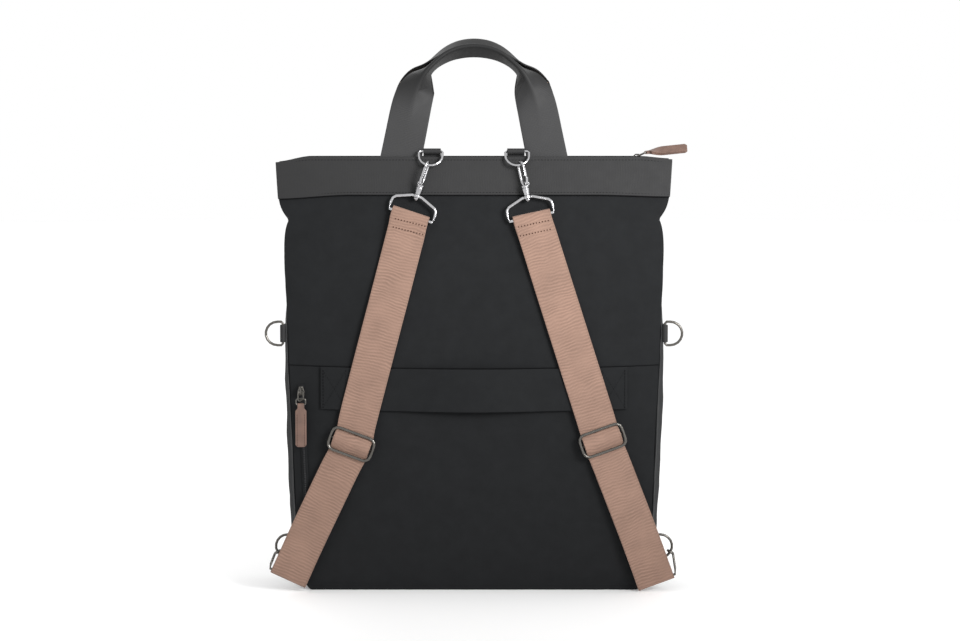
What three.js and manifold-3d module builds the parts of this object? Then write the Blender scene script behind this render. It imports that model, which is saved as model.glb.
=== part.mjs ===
// Convertible backpack: a fabric tote with two webbing handles and two clip-on shoulder straps.
// Units are millimetres. X runs across the bag, -Y is the strap side, +Z is up, Z = 0 is the floor.
import * as THREE from 'three';
import Module from 'manifold-3d';
import { mergeVertices } from 'three/addons/utils/BufferGeometryUtils.js';

// Driving sizes of the bag
const clearance = 0.3;
const bagHeight = 433;
const bagHalfWidth = 198;
const bagHalfDepth = 52;
const fabricWall = 1.5;
const bandHeight = 38;
const bandWall = 1.5;
const middleSeamHeight = 227;
const middleSeamDip = 3;
const baseThickness = 2;

// Driving sizes of the top zip and its pull
const zipTapeDrop = 6;
const zipTapeWall = 1.2;
const zipChainWidth = 6;
const zipChainHeight = 1.6;
const zipSliderLength = 9;
const zipSliderWidth = 7;
const zipSliderHeight = 2.6;
const zipSliderInset = 34;
const linkWire = 0.8;
const linkLength = 11;
const linkWidth = 8;
const pullLength = 42;
const pullWidth = 11;
const pullThickness = 3.4;
const topPullTilt = 6;
const topLinkTilt = 24;
const pocketLinkTurn = 38;
const linkCorner = 1.6;

// Driving sizes of the trolley sleeve and the pocket zip on the lower panel
const sleeveHalfWidth = bagHalfWidth - 46;
const sleeveHeight = 42;
const sleeveWall = 1.5;
const sleeveBow = 8;
const sleeveFreeHalf = 88;
const pocketZipWidth = 6;
const pocketZipTop = middleSeamHeight - 19;
const pocketZipLength = 122;
const pocketZipInset = 8;
const pocketZipRelief = 1.6;

// Driving sizes of the webbing carry handles
const handleWebWidth = 40;
const handleWebThickness = 1.8;
const handleStance = 73;
const handleRise = 106;
const farHandleExtra = 6;
const handleSeatDepth = 30;
const handleFoldZone = 5;
const legSlack = 1.1;
const liningThickness = 0.8;
const liningWidth = 37;

// Driving sizes of the rings, their tabs, the hooks and the straps
const ringWire = 1.35;
const ringBar = 23.4;
const ringDepth = 17;
const tabWidth = 17.4;
const tabShift = 1.3;
const tabWall = 1.2;
const topTabSeat = 22;
const ringStance = 43;
const ringTilt = 35;
const sideRingHeight = 258;
const lowRingHeight = 45;
const strapWidth = 38;
const strapThickness = 1.8;
const hookWire = 1.4;
const hookLoopRadius = 4.6;
const hookLength = 25.5;
const barrelRadius = 4.2;
const barrelLength = 10;
const ringContactShift = 3.2;
const frameBossHeight = 3;
const gateThickness = 2.4;
const gateSwingRadius = 2;
const pinRadius = 0.7;
const lowHookWire = 1.3;
const lowContactAngle = 30;
const frameWire = 1.5;
const frameHalfWidth = 22.5;
const frameArm = 12.3;
const frameApex = 20;
const sliderWire = 1.5;
const sliderBarWire = 1.2;
const sliderHalfLength = 22;
const sliderHalfHeight = 11.5;
const sliderCorner = 6;
const sliderStandOff = 6.6;
const sliderBarDrop = 2.5;

// Sections of the bag from the rim down to the floor, as shares: up of the height, wide of the half
// width at the side seams, and deep, belly and side of the half depth. Belly is how far the front and
// back swell at their middle. Side is how far the gusset swells out, or folds in where it is negative.
const sections = [
  { up: 1.0, wide: 1.0, deep: 0.5, belly: 0.02, side: -0.5 },
  { up: 0.912, wide: 0.987, deep: 0.6, belly: 0.06, side: -0.5 },
  { up: 0.882, wide: 0.968, deep: 0.65, belly: 0.08, side: -0.48 },
  { up: 0.859, wide: 0.932, deep: 0.69, belly: 0.09, side: -0.38 },
  { up: 0.841, wide: 0.948, deep: 0.72, belly: 0.1, side: -0.42 },
  { up: 0.801, wide: 0.956, deep: 0.77, belly: 0.11, side: -0.31 },
  { up: 0.744, wide: 0.951, deep: 0.84, belly: 0.13, side: -0.15 },
  { up: 0.661, wide: 0.938, deep: 0.9, belly: 0.15, side: 0.02 },
  { up: 0.524, wide: 0.928, deep: 0.97, belly: 0.17, side: 0.06 },
  { up: 0.439, wide: 0.918, deep: 0.99, belly: 0.19, side: 0.08 },
  { up: 0.356, wide: 0.91, deep: 1.0, belly: 0.19, side: 0.09 },
  { up: 0.273, wide: 0.903, deep: 1.0, belly: 0.19, side: 0.09 },
  { up: 0.189, wide: 0.897, deep: 0.99, belly: 0.17, side: 0.09 },
  { up: 0.092, wide: 0.882, deep: 0.96, belly: 0.12, side: 0.09 },
  { up: 0.046, wide: 0.868, deep: 0.92, belly: 0.08, side: 0.07 },
  { up: 0.018, wide: 0.853, deep: 0.88, belly: 0.04, side: 0.04 },
  { up: 0.0, wide: 0.823, deep: 0.83, belly: 0.0, side: 0.0 },
];

// One half of a handle from the rim to the crown, as shares: across of the stance, up of the rise,
// out of the distance of the leg from the middle plane. Fold is 0 flat and 1 folded in half, and
// roll is the tilt in degrees of the folded webbing.
const handleStations = [
  { across: 1.0, up: 0.0, out: 1.0, fold: 0.0, roll: 0 },
  { across: 0.92, up: 0.26, out: 0.93, fold: 0.0, roll: 0 },
  { across: 0.86, up: 0.47, out: 0.83, fold: 0.03, roll: 0 },
  { across: 0.795, up: 0.62, out: 0.74, fold: 0.22, roll: 0 },
  { across: 0.73, up: 0.72, out: 0.67, fold: 0.58, roll: 0 },
  { across: 0.65, up: 0.8, out: 0.62, fold: 0.92, roll: 3 },
  { across: 0.53, up: 0.872, out: 0.57, fold: 1.0, roll: 10 },
  { across: 0.37, up: 0.945, out: 0.52, fold: 1.0, roll: 20 },
  { across: 0.19, up: 0.987, out: 0.48, fold: 1.0, roll: 28 },
  { across: 0.0, up: 1.0, out: 0.46, fold: 1.0, roll: 30 },
];

// Where each shoulder strap is held, as shares: bar, slider and low are places across the half width,
// and their heights are shares of the bag's height. The two straps hang a little differently.
const strapSides = [
  {
    name: 'left', hand: -1,
    barAcross: 0.316, barUp: 0.867,
    sliderAcross: 0.611, sliderUp: 0.346,
    lowAcross: 0.932, lowUp: 0.0365,
    hookTwist: 14,
  },
  {
    name: 'right', hand: 1,
    barAcross: 0.287, barUp: 0.867,
    sliderAcross: 0.641, sliderUp: 0.354,
    lowAcross: 0.916, lowUp: 0.0264,
    hookTwist: 32,
  },
];

// The strap's route in its own side view. From says which fitting the distance along is counted
// from, and off is the height of the webbing's middle above the back panel.
const strapRoute = [
  { from: 'bar', along: 27, off: 1.5 },
  { from: 'bar', along: 17, off: 1.5 },
  { from: 'bar', along: 8, off: 1.6 },
  { from: 'bar', along: 0, off: 4.4, turn: 2.7, start: -90, end: 90 },
  { from: 'bar', along: 7, off: 6.3 },
  { from: 'bar', along: 14, off: 4.6 },
  { from: 'bar', along: 20, off: 3.8 },
  { from: 'bar', along: 28, off: 3.7 },
  { from: 'bar', along: 44, off: 2.6 },
  { from: 'bar', along: 70, off: 2.2 },
  { from: 'bar', along: 98, off: 2.4 },
  { from: 'slider', along: -100, off: 3.4 },
  { from: 'slider', along: -78, off: 3.6 },
  { from: 'slider', along: -58, off: 3.7 },
  { from: 'slider', along: -36, off: 3.7 },
  { from: 'slider', along: -20, off: 3.7 },
  { from: 'slider', along: -11.5, off: 3.85 },
  { from: 'slider', along: -9.2, off: 4.6 },
  { from: 'slider', along: -5, off: 7.0 },
  { from: 'slider', along: -2.4, off: 8.35 },
  { from: 'slider', along: 0, off: 8.7 },
  { from: 'slider', along: 2.4, off: 8.35 },
  { from: 'slider', along: 5, off: 7.0 },
  { from: 'slider', along: 9.2, off: 4.6 },
  { from: 'slider', along: 11.5, off: 3.9 },
  { from: 'slider', along: 20, off: 4.0 },
  { from: 'slider', along: 44, off: 4.4 },
  { from: 'slider', along: 72, off: 5.4 },
  { from: 'low', along: -50, off: 7.0 },
  { from: 'low', along: -30, off: 8.6 },
  { from: 'low', along: -12, off: 9.4 },
  { from: 'low', along: 0, off: 6.6, turn: 2.7, start: 90, end: -90 },
  { from: 'low', along: -12, off: 3.8 },
  { from: 'low', along: -30, off: 3.5 },
  { from: 'low', along: -50, off: 3.4 },
  { from: 'slider', along: 72, off: 2.6 },
  { from: 'slider', along: 44, off: 1.8 },
  { from: 'slider', along: 20, off: 1.6 },
  { from: 'slider', along: 11.5, off: 1.6 },
  { from: 'slider', along: 6, off: 1.65 },
  { from: 'slider', along: 0, off: 4.1, turn: 2.4, start: -90, end: 70 },
];

const wasm = await Module();
wasm.setup();

// Plain helpers
const radians = THREE.MathUtils.degToRad;
const vector = (x, y, z) => new THREE.Vector3(x, y, z);
const mix = (a, b, share) => a + (b - a) * share;

function interpolate(rows, key, at, column) {
  const ordered = [...rows].sort((a, b) => a[key] - b[key]);
  if (at <= ordered[0][key]) {
    return ordered[0][column];
  }
  for (let i = 1; i < ordered.length; i += 1) {
    const low = ordered[i - 1];
    const high = ordered[i];
    if (at <= high[key]) {
      return mix(low[column], high[column], (at - low[key]) / (high[key] - low[key]));
    }
  }
  return ordered[ordered.length - 1][column];
}

function geometryOf(positions, triangles) {
  const geometry = new THREE.BufferGeometry();
  const flat = positions.flatMap((point) => [point.x, point.y, point.z]);
  geometry.setAttribute('position', new THREE.Float32BufferAttribute(flat, 3));
  geometry.setIndex(triangles);
  return geometry;
}

function signedVolume(geometry) {
  const at = geometry.attributes.position;
  const index = geometry.index;
  const a = vector(0, 0, 0);
  const b = vector(0, 0, 0);
  const c = vector(0, 0, 0);
  let sum = 0;
  for (let i = 0; i < index.count; i += 3) {
    a.fromBufferAttribute(at, index.getX(i));
    b.fromBufferAttribute(at, index.getX(i + 1));
    c.fromBufferAttribute(at, index.getX(i + 2));
    sum += a.dot(b.cross(c)) / 6;
  }
  return sum;
}

// Turns every face round if the closed mesh is inside out
function facingOut(geometry) {
  if (signedVolume(geometry) < 0) {
    const index = geometry.index.array;
    for (let i = 0; i < index.length; i += 3) {
      const kept = index[i];
      index[i] = index[i + 1];
      index[i + 1] = kept;
    }
  }
  return geometry;
}

// A closed wall between two grids of points with the same rows and columns
function wallBetween(outer, inner) {
  const rows = outer.length;
  const columns = outer[0].length;
  const points = [...outer.flat(), ...inner.flat()];
  const half = rows * columns;
  const triangles = [];
  const quad = (a, b, c, d) => triangles.push(a, b, c, a, c, d);
  const at = (layer, row, column) => layer * half + row * columns + column;
  for (let i = 0; i < rows - 1; i += 1) {
    for (let j = 0; j < columns - 1; j += 1) {
      quad(at(0, i, j), at(0, i + 1, j), at(0, i + 1, j + 1), at(0, i, j + 1));
      quad(at(1, i, j), at(1, i, j + 1), at(1, i + 1, j + 1), at(1, i + 1, j));
    }
  }
  for (let i = 0; i < rows - 1; i += 1) {
    quad(at(0, i, 0), at(1, i, 0), at(1, i + 1, 0), at(0, i + 1, 0));
    quad(at(0, i, columns - 1), at(0, i + 1, columns - 1), at(1, i + 1, columns - 1), at(1, i, columns - 1));
  }
  for (let j = 0; j < columns - 1; j += 1) {
    quad(at(0, 0, j), at(0, 0, j + 1), at(1, 0, j + 1), at(1, 0, j));
    quad(at(0, rows - 1, j), at(1, rows - 1, j), at(1, rows - 1, j + 1), at(0, rows - 1, j + 1));
  }
  return facingOut(geometryOf(points, triangles));
}

// A solid through closed loops with the same number of points, capped at both ends or joined round
function loft(loops, joined = false) {
  const count = loops[0].length;
  const triangles = [];
  const last = joined ? loops.length : loops.length - 1;
  for (let i = 0; i < last; i += 1) {
    const here = i * count;
    const next = ((i + 1) % loops.length) * count;
    for (let j = 0; j < count; j += 1) {
      const k = (j + 1) % count;
      triangles.push(here + j, here + k, next + k, here + j, next + k, next + j);
    }
  }
  if (!joined) {
    const end = (loops.length - 1) * count;
    for (let j = 1; j < count - 1; j += 1) {
      triangles.push(0, j + 1, j, end, end + j, end + j + 1);
    }
  }
  return facingOut(geometryOf(loops.flat(), triangles));
}

// A strip's two ends are capped by pairs of opposite points, so a curved section stays whole, and its
// two faces are split along like diagonals, so that layers laid on each other stay parallel
function loftStrip(loops) {
  const count = loops[0].length;
  const half = count / 2;
  const triangles = [];
  for (let i = 0; i < loops.length - 1; i += 1) {
    for (let j = 0; j < count; j += 1) {
      const k = (j + 1) % count;
      const here = i * count;
      const next = here + count;
      if (j < half) {
        triangles.push(here + j, here + k, next + k, here + j, next + k, next + j);
      } else {
        triangles.push(here + j, here + k, next + j, here + k, next + k, next + j);
      }
    }
  }
  const end = (loops.length - 1) * count;
  for (let j = 0; j < half - 1; j += 1) {
    const a = j;
    const b = j + 1;
    const c = count - 2 - j;
    const d = count - 1 - j;
    triangles.push(a, c, b, a, d, c);
    triangles.push(end + a, end + b, end + c, end + a, end + c, end + d);
  }
  return facingOut(geometryOf(loops.flat(), triangles));
}

// Round wire along points that lie near one plane, whose normal is given
function wire(points, radius, normal, closed = false, sides = 6) {
  const loops = points.map((point, i) => {
    const count = points.length;
    const before = closed ? points[(i + count - 1) % count] : points[Math.max(i - 1, 0)];
    const after = closed ? points[(i + 1) % count] : points[Math.min(i + 1, count - 1)];
    const tangent = after.clone().sub(before).normalize();
    const across = tangent.clone().cross(normal).normalize();
    const up = across.clone().cross(tangent);
    return Array.from({ length: sides }, (unused, k) => {
      const angle = (2 * Math.PI * (k + 0.5)) / sides;
      return point.clone()
        .addScaledVector(across, radius * Math.cos(angle))
        .addScaledVector(up, radius * Math.sin(angle));
    });
  });
  return loft(loops, closed);
}

function solidOf(geometry) {
  const bare = geometry.clone();
  bare.deleteAttribute('normal');
  bare.deleteAttribute('uv');
  const merged = mergeVertices(bare, 1e-4);
  return new wasm.Manifold(new wasm.Mesh({
    numProp: 3,
    vertProperties: new Float32Array(merged.attributes.position.array),
    triVerts: new Uint32Array(merged.index.array),
  }));
}

function geometryFrom(solid) {
  const mesh = solid.getMesh();
  const geometry = new THREE.BufferGeometry();
  geometry.setAttribute('position', new THREE.Float32BufferAttribute(mesh.vertProperties, 3));
  geometry.setIndex([...mesh.triVerts]);
  return geometry;
}

function joined(geometries) {
  return geometryFrom(geometries.map(solidOf).reduce((whole, next) => whole.add(next)));
}

function cut(geometry, tools) {
  return geometryFrom(tools.map(solidOf).reduce((rest, tool) => rest.subtract(tool), solidOf(geometry)));
}

// Puts a shape that was drawn in its own x, y, z into the frame of three directions and a place
function placed(geometry, place, xAxis, yAxis, zAxis) {
  const matrix = new THREE.Matrix4().makeBasis(xAxis, yAxis, zAxis).setPosition(place);
  return geometry.clone().applyMatrix4(matrix);
}

// An extruded outline whose thickness is centred on its own plane
function plate(outline, thickness, holes = []) {
  const corners = outline.map(([x, y]) => new THREE.Vector2(x, y));
  if (THREE.ShapeUtils.isClockWise(corners)) {
    corners.reverse();
  }
  const shape = new THREE.Shape(corners);
  for (const hole of holes) {
    const path = new THREE.Path();
    path.absarc(hole.x, hole.y, hole.radius, 0, 2 * Math.PI, true);
    shape.holes.push(path);
  }
  const solid = new THREE.ExtrudeGeometry(shape, { depth: thickness, bevelEnabled: false, curveSegments: 5 });
  return solid.translate(0, 0, -thickness / 2);
}

function arcPoints(x, y, radius, from, to, steps) {
  return Array.from({ length: steps + 1 }, (unused, i) => {
    const angle = radians(mix(from, to, i / steps));
    return [x + radius * Math.cos(angle), y + radius * Math.sin(angle)];
  });
}

// The bag's surface
function sectionAt(z) {
  const up = z / bagHeight;
  const share = (column) => interpolate(sections, 'up', up, column);
  return {
    half: share('wide') * bagHalfWidth,
    deep: share('deep') * bagHalfDepth,
    belly: share('belly') * bagHalfDepth,
    side: share('side') * bagHalfDepth,
  };
}

// The distance of the outer face of the front or back panel from the middle plane
function panelReach(x, z) {
  const section = sectionAt(z);
  const share = Math.min(Math.abs(x) / section.half, 1);
  return section.deep + section.belly * (1 - share ** 4);
}

function panelPoint(x, z, face, off) {
  return vector(x, face * (panelReach(x, z) + off), z);
}

function gussetPoint(share, z, hand, off) {
  const section = sectionAt(z);
  const power = section.side < 0 ? 1.4 : 2.6;
  const across = (at) => section.half + section.side * (1 - Math.abs(at) ** power);
  const step = 0.01;
  const slope = (across(share + step) - across(share - step)) / (2 * step * section.deep);
  const normal = new THREE.Vector2(1, -slope).normalize();
  return vector(
    hand * (across(share) + normal.x * off),
    share * section.deep + normal.y * off,
    z,
  );
}

const sectionHeights = sections.map((row) => row.up * bagHeight);
const columnShares = [-1, -0.95, -0.82, -0.62, -0.42, -0.2, 0, 0.2, 0.42, 0.62, 0.82, 0.95, 1];
const gussetShares = [-1, -0.62, -0.3, 0, 0.3, 0.62, 1];
const seamHeight = (share) => middleSeamHeight - middleSeamDip * (1 - share * share);

// A piece of the front or back panel between two heights, each a function of the share across
function panelPiece(face, lowest, highest, offOuter, offInner) {
  const middle = sectionHeights.filter((z) => z > lowest(0) + 6 && z < highest(0) - 6);
  const grid = (off) => ['top', ...middle, 'bottom'].map((row) => columnShares.map((share) => {
    const z = row === 'top' ? highest(share) : row === 'bottom' ? lowest(share) : row;
    const half = sectionAt(z).half - clearance;
    return panelPoint(share * half, z, face, off);
  }));
  return wallBetween(grid(offOuter), grid(offInner));
}

function gusset(hand) {
  const grid = (off) => sectionHeights.map((z) => {
    const edge = 1 - (fabricWall + clearance) / sectionAt(z).deep;
    return gussetShares.map((share) => gussetPoint(share * edge, z, hand, off));
  });
  return wallBetween(grid(fabricWall), grid(0));
}

function basePanel() {
  const foot = sectionAt(0);
  const width = 2 * (foot.half - clearance);
  const depth = 2 * (foot.deep - fabricWall - clearance);
  return new THREE.BoxGeometry(width, depth, baseThickness).translate(0, 0, baseThickness / 2);
}

// The top zip lies between the two inner faces just under the rim, notched where the legs and tabs pass
const zipTapeTop = bagHeight - zipTapeDrop;
const innerReach = (x, z) => panelReach(x, z) - fabricWall;
const legDrop = handleStance * (1 - handleStations[1].across) / (handleRise * handleStations[1].up);
const legAcross = (z) => handleStance + (bagHeight - z) * legDrop;

function topZipTape() {
  const low = zipTapeTop - zipTapeWall;
  const fold = gussetShares.filter((share) => share >= 0 && share < 1).map((share) => {
    const edge = 1 - (fabricWall + clearance) / sectionAt(low).deep;
    const point = gussetPoint(share * edge, low, 1, 0);
    return [point.x - 2 * clearance, point.y];
  });
  const cornerReach = fold[fold.length - 1][0];
  const legHalf = handleWebWidth / 2 + 4 * clearance;
  const legMiddle = legAcross(zipTapeTop);
  const legOuter = legMiddle + legHalf;
  const tabInner = ringStance - tabShift - tabWidth / 2 - 2 * clearance;
  const notch = legSlack + handleWebThickness + liningThickness + 4 * clearance;
  const edge = (x, deeper) => innerReach(x, zipTapeTop) - clearance - deeper;
  const quarter = [
    ...fold.slice(1),
    [cornerReach, edge(cornerReach, 0)],
    [legOuter, edge(legOuter, 0)],
    [legOuter, edge(legOuter, notch)],
    [tabInner, edge(tabInner, notch)],
    [tabInner, edge(tabInner, 0)],
  ];
  const turned = (mirrorX, mirrorY) => quarter.map(([x, y]) => [mirrorX * x, mirrorY * y]);
  const outline = [
    fold[0],
    ...turned(1, 1),
    ...turned(-1, 1).reverse(),
    [-fold[0][0], 0],
    ...turned(-1, -1),
    ...turned(1, -1).reverse(),
  ];
  return plate(outline, zipTapeWall).translate(0, 0, zipTapeTop - zipTapeWall / 2);
}

function topZipChain() {
  const reach = bagHalfWidth - zipSliderInset - zipSliderLength / 2 - clearance;
  const length = 2 * reach;
  return new THREE.BoxGeometry(length, zipChainWidth, zipChainHeight)
    .translate(0, 0, zipTapeTop + clearance + zipChainHeight / 2);
}

// A zip slider in its own frame: x along the zip, z away from it, standing on z = 0. Its bridge holds
// the link's wire at the eye height, far enough out for the turned link to clear the body.
const linkHalf = linkWidth / 2 - linkWire;
const bridgeEye = zipSliderHeight + linkWire + clearance + linkHalf * Math.sin(radians(pocketLinkTurn));

function zipSliderBody() {
  const length = zipSliderLength;
  const half = zipSliderWidth / 2;
  const outline = [
    [-length / 2, -half * 0.55], [length * 0.1, -half], [length / 2, -half],
    [length / 2, half], [length * 0.1, half], [-length / 2, half * 0.55],
  ];
  const body = plate(outline, zipSliderHeight).translate(0, 0, zipSliderHeight / 2);
  const bridgeHalf = length * 0.36;
  const bridgeRise = bridgeEye - zipSliderHeight + 2 * linkWire + clearance;
  const foot = zipSliderHeight - 0.5;
  const bridge = [
    vector(-bridgeHalf, 0, foot),
    vector(-bridgeHalf, 0, zipSliderHeight + bridgeRise * 0.7),
    vector(-bridgeHalf * 0.5, 0, zipSliderHeight + bridgeRise),
    vector(bridgeHalf * 0.5, 0, zipSliderHeight + bridgeRise),
    vector(bridgeHalf, 0, zipSliderHeight + bridgeRise * 0.7),
    vector(bridgeHalf, 0, foot),
  ];
  return joined([body, wire(bridge, linkWire, vector(0, 1, 0))]);
}

// A wire link in its own x, y plane, centred on the origin, with rounded corners
function wireLink(length, width, corner) {
  const halfLength = length / 2 - linkWire;
  const halfWidth = width / 2 - linkWire;
  const x = halfLength - corner;
  const y = halfWidth - corner;
  const outline = [
    ...arcPoints(x, y, corner, 0, 90, 2),
    ...arcPoints(-x, y, corner, 90, 180, 2),
    ...arcPoints(-x, -y, corner, 180, 270, 2),
    ...arcPoints(x, -y, corner, 270, 360, 2),
  ];
  return wire(outline.map(([a, b]) => vector(a, b, 0)), linkWire, vector(0, 0, 1), true);
}

// A leather pull in its own frame: the eye at the origin with its hole along y, the strip along +x
function leatherPull() {
  const eyeRadius = linkWire + clearance;
  const neckWidth = pullWidth * 0.6;
  const neckEnd = pullWidth * 0.7;
  const neck = plate(
    [
      ...arcPoints(0, 0, pullThickness / 2, 90, 270, 6),
      [neckEnd, -pullThickness / 2],
      [neckEnd, pullThickness / 2],
    ],
    neckWidth,
    [{ x: 0, y: 0, radius: eyeRadius }],
  ).rotateX(Math.PI / 2);
  const corner = pullWidth * 0.2;
  const start = pullWidth * 0.34;
  const half = pullWidth / 2;
  const strip = plate([
    [start, -half + corner], [start + corner, -half],
    [pullLength - corner, -half], [pullLength, -half + corner],
    [pullLength, half - corner], [pullLength - corner, half],
    [start + corner, half], [start, half - corner],
  ], pullThickness);
  return joined([neck, strip]);
}

// The trolley sleeve lies on the lower panel and stands off it between its sewn ends
function sleeveBowAt(x) {
  const share = Math.min(Math.abs(x) / sleeveFreeHalf, 1);
  return sleeveBow * Math.cos((share * Math.PI) / 2) ** 2;
}

function trolleySleeve() {
  const shares = [-1, -0.8, -0.58, -0.5, -0.4, -0.28, -0.14, 0, 0.14, 0.28, 0.4, 0.5, 0.58, 0.8, 1];
  const rows = [0, 0.5, 1];
  const grid = (off) => rows.map((row) => shares.map((share) => {
    const x = share * sleeveHalfWidth;
    const top = seamHeight(x / sectionAt(middleSeamHeight).half) - clearance;
    const z = top - row * sleeveHeight;
    return panelPoint(x, z, -1, clearance * 2 + sleeveBowAt(x) + off);
  }));
  return wallBetween(grid(sleeveWall), grid(0));
}

// The pocket zip runs down beside the left seam of the lower panel
function pocketZipAcross(z) {
  return -(sectionAt(z).half - pocketZipInset - pocketZipWidth / 2);
}

function pocketZipTape() {
  const rows = [0, 0.2, 0.4, 0.6, 0.8, 1];
  const shares = [-1, -0.3, 0.3, 1];
  const grid = (off, swell) => rows.map((row) => shares.map((share) => {
    const z = pocketZipTop - row * pocketZipLength;
    const x = pocketZipAcross(z) + (share * pocketZipWidth) / 2;
    const raised = Math.abs(share) < 0.5 ? swell : 0;
    return panelPoint(x, z, -1, clearance + off + raised);
  }));
  const flat = pocketZipRelief * 0.6;
  return wallBetween(grid(flat, pocketZipRelief - flat), grid(0, 0));
}

// A handle's flat webbing folds in half lengthwise as it rises, with its back inside the fold
function foldedSection(fold, width, near, far) {
  const bend = radians(88) * fold;
  const zone = handleFoldZone / 2;
  const marks = [-width / 2, -zone, -zone / 2, 0, zone / 2, zone, width / 2];
  const angle = (at) => bend * Math.max(-1, Math.min(1, at / zone));
  const spine = marks.indexOf(0);
  const line = marks.map(() => ({ across: 0, deep: 0 }));
  const walk = (from, to) => {
    const length = marks[to] - marks[from];
    const heading = angle((marks[from] + marks[to]) / 2);
    line[to] = {
      across: line[from].across + length * Math.cos(heading),
      deep: line[from].deep + length * Math.sin(heading),
    };
  };
  for (let i = spine; i < marks.length - 1; i += 1) {
    walk(i, i + 1);
  }
  for (let i = spine; i > 0; i -= 1) {
    walk(i, i - 1);
  }
  const middle = (handleWebWidth / 4) * Math.sin(bend);
  const offset = (distance) => line.map((point, i) => {
    const heading = angle(marks[i]);
    return {
      across: point.across - Math.sin(heading) * distance,
      deep: point.deep - middle + Math.cos(heading) * distance,
    };
  });
  return [...offset(near), ...offset(far).reverse()];
}

function handlePath(face, rise) {
  // The leg leans, so its outer edge needs a little more room behind the sloping panel
  const legOff = fabricWall + legSlack + handleWebThickness / 2;
  const legReach = panelReach(handleStance, bagHeight) - legOff;
  const half = [];
  for (const drop of [handleSeatDepth, handleSeatDepth / 2]) {
    const z = bagHeight - drop;
    const across = legAcross(z);
    half.push({ across, z, y: panelReach(across, z) - legOff, fold: 0, roll: 0 });
  }
  for (const row of handleStations) {
    half.push({
      across: row.across * handleStance,
      z: bagHeight + row.up * rise,
      y: row.out * legReach,
      fold: row.fold,
      roll: row.roll,
    });
  }
  const left = half.map((row) => ({ ...row, x: -row.across }));
  const right = half.slice(0, -1).reverse().map((row) => ({ ...row, x: row.across }));
  const smooth = [...left, ...right].map((row) => ({ ...row, place: vector(row.x, face * row.y, row.z) }));
  return smooth;
}

// Rows between the given ones, so that the crown and shoulders are round
function refined(rows) {
  const curve = new THREE.CatmullRomCurve3(rows.map((row) => row.place), false, 'centripetal');
  const result = [];
  for (let i = 0; i < rows.length - 1; i += 1) {
    const steps = rows[i].roll + rows[i + 1].roll > 0 ? 2 : 1;
    for (let k = 0; k < steps; k += 1) {
      const share = k / steps;
      const at = (i + share) / (rows.length - 1);
      result.push({
        place: curve.getPoint(at),
        tangent: curve.getTangent(at),
        fold: mix(rows[i].fold, rows[i + 1].fold, share),
        roll: mix(rows[i].roll, rows[i + 1].roll, share),
      });
    }
  }
  const last = rows[rows.length - 1];
  result.push({ place: last.place, tangent: curve.getTangent(1), fold: last.fold, roll: last.roll });
  return result;
}

function handleLoops(face, rise, width, near, far, keep) {
  return refined(handlePath(face, rise)).filter(keep).map((row) => {
    const radial = vector(-row.tangent.z, 0, row.tangent.x).normalize();
    const flat = vector(0, face, 0);
    const outward = flat.multiplyScalar(Math.cos(radians(row.roll)))
      .addScaledVector(radial, Math.sin(radians(row.roll)));
    outward.addScaledVector(row.tangent, -outward.dot(row.tangent)).normalize();
    const across = row.tangent.clone().cross(outward).normalize();
    return foldedSection(row.fold, width, near, far).map((point) => row.place.clone()
      .addScaledVector(across, point.across)
      .addScaledVector(outward, -point.deep));
  });
}

function handle(face, rise) {
  const half = handleWebThickness / 2;
  return loftStrip(handleLoops(face, rise, handleWebWidth, -half, half, () => true));
}

function handleLining(face, rise, hand) {
  const near = handleWebThickness / 2 + 2 * clearance;
  const seat = bagHeight - handleSeatDepth / 2;
  const keep = (row) => row.place.x * hand > 0 && row.fold < 0.4 && row.place.z > seat - 1;
  return loftStrip(handleLoops(face, rise, liningWidth, near, near + liningThickness, keep));
}

// A D ring in its own frame: the bar along x through the origin, the bow towards +y
function ringShape() {
  const half = ringBar / 2;
  const centre = ringDepth - half;
  const outline = [
    [-half, 1.6], [-half + 1.6, 0], [half - 1.6, 0], [half, 1.6],
    ...arcPoints(0, centre, half, 0, 180, 9),
  ];
  return wire(outline.map(([x, y]) => vector(x, y, 0)), ringWire, vector(0, 0, 1), true);
}

// Top rings hang from tabs that rise behind the rim and fold forward over it
const topRingReach = panelReach(ringStance, bagHeight) + clearance + bandWall * 0.5 + ringWire * 0.4;
const topRingHeight = bagHeight + 5.5;

function topRing(hand) {
  const tilt = radians(ringTilt);
  const down = vector(0, -Math.sin(tilt), -Math.cos(tilt));
  const bar = vector(1, 0, 0);
  const place = vector(hand * ringStance, -topRingReach, topRingHeight);
  return placed(ringShape(), place, bar, down, bar.clone().cross(down));
}

function topTab(hand) {
  const eye = ringWire + clearance + tabWall;
  const reach = topRingReach;
  const outer = panelReach(ringStance, bagHeight) - fabricWall - clearance;
  const stem = 2 * tabWall;
  const inner = outer - stem;
  const rim = bagHeight;
  const foot = rim - topTabSeat;
  const footShift = panelReach(ringStance, foot) - panelReach(ringStance, rim);
  const outline = [
    [-inner - footShift, foot],
    [-inner, rim],
    [-inner - 0.2, rim + 3.2],
    [-inner - 1.6, topRingHeight + eye * 0.8],
    ...arcPoints(-reach, topRingHeight, eye, 75, 285, 9),
    [-reach + eye * 0.75, topRingHeight - eye * 0.8],
    [-outer - 0.3, rim + 1.4],
    [-outer, rim],
    [-outer - footShift, foot],
  ];
  const tab = plate(outline, tabWidth, [{ x: -reach, y: topRingHeight, radius: ringWire + clearance }]);
  const across = vector(1, 0, 0);
  const place = vector(hand * (ringStance - tabShift), 0, 0);
  return placed(tab, place, vector(0, 1, 0), vector(0, 0, 1), across);
}

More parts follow.
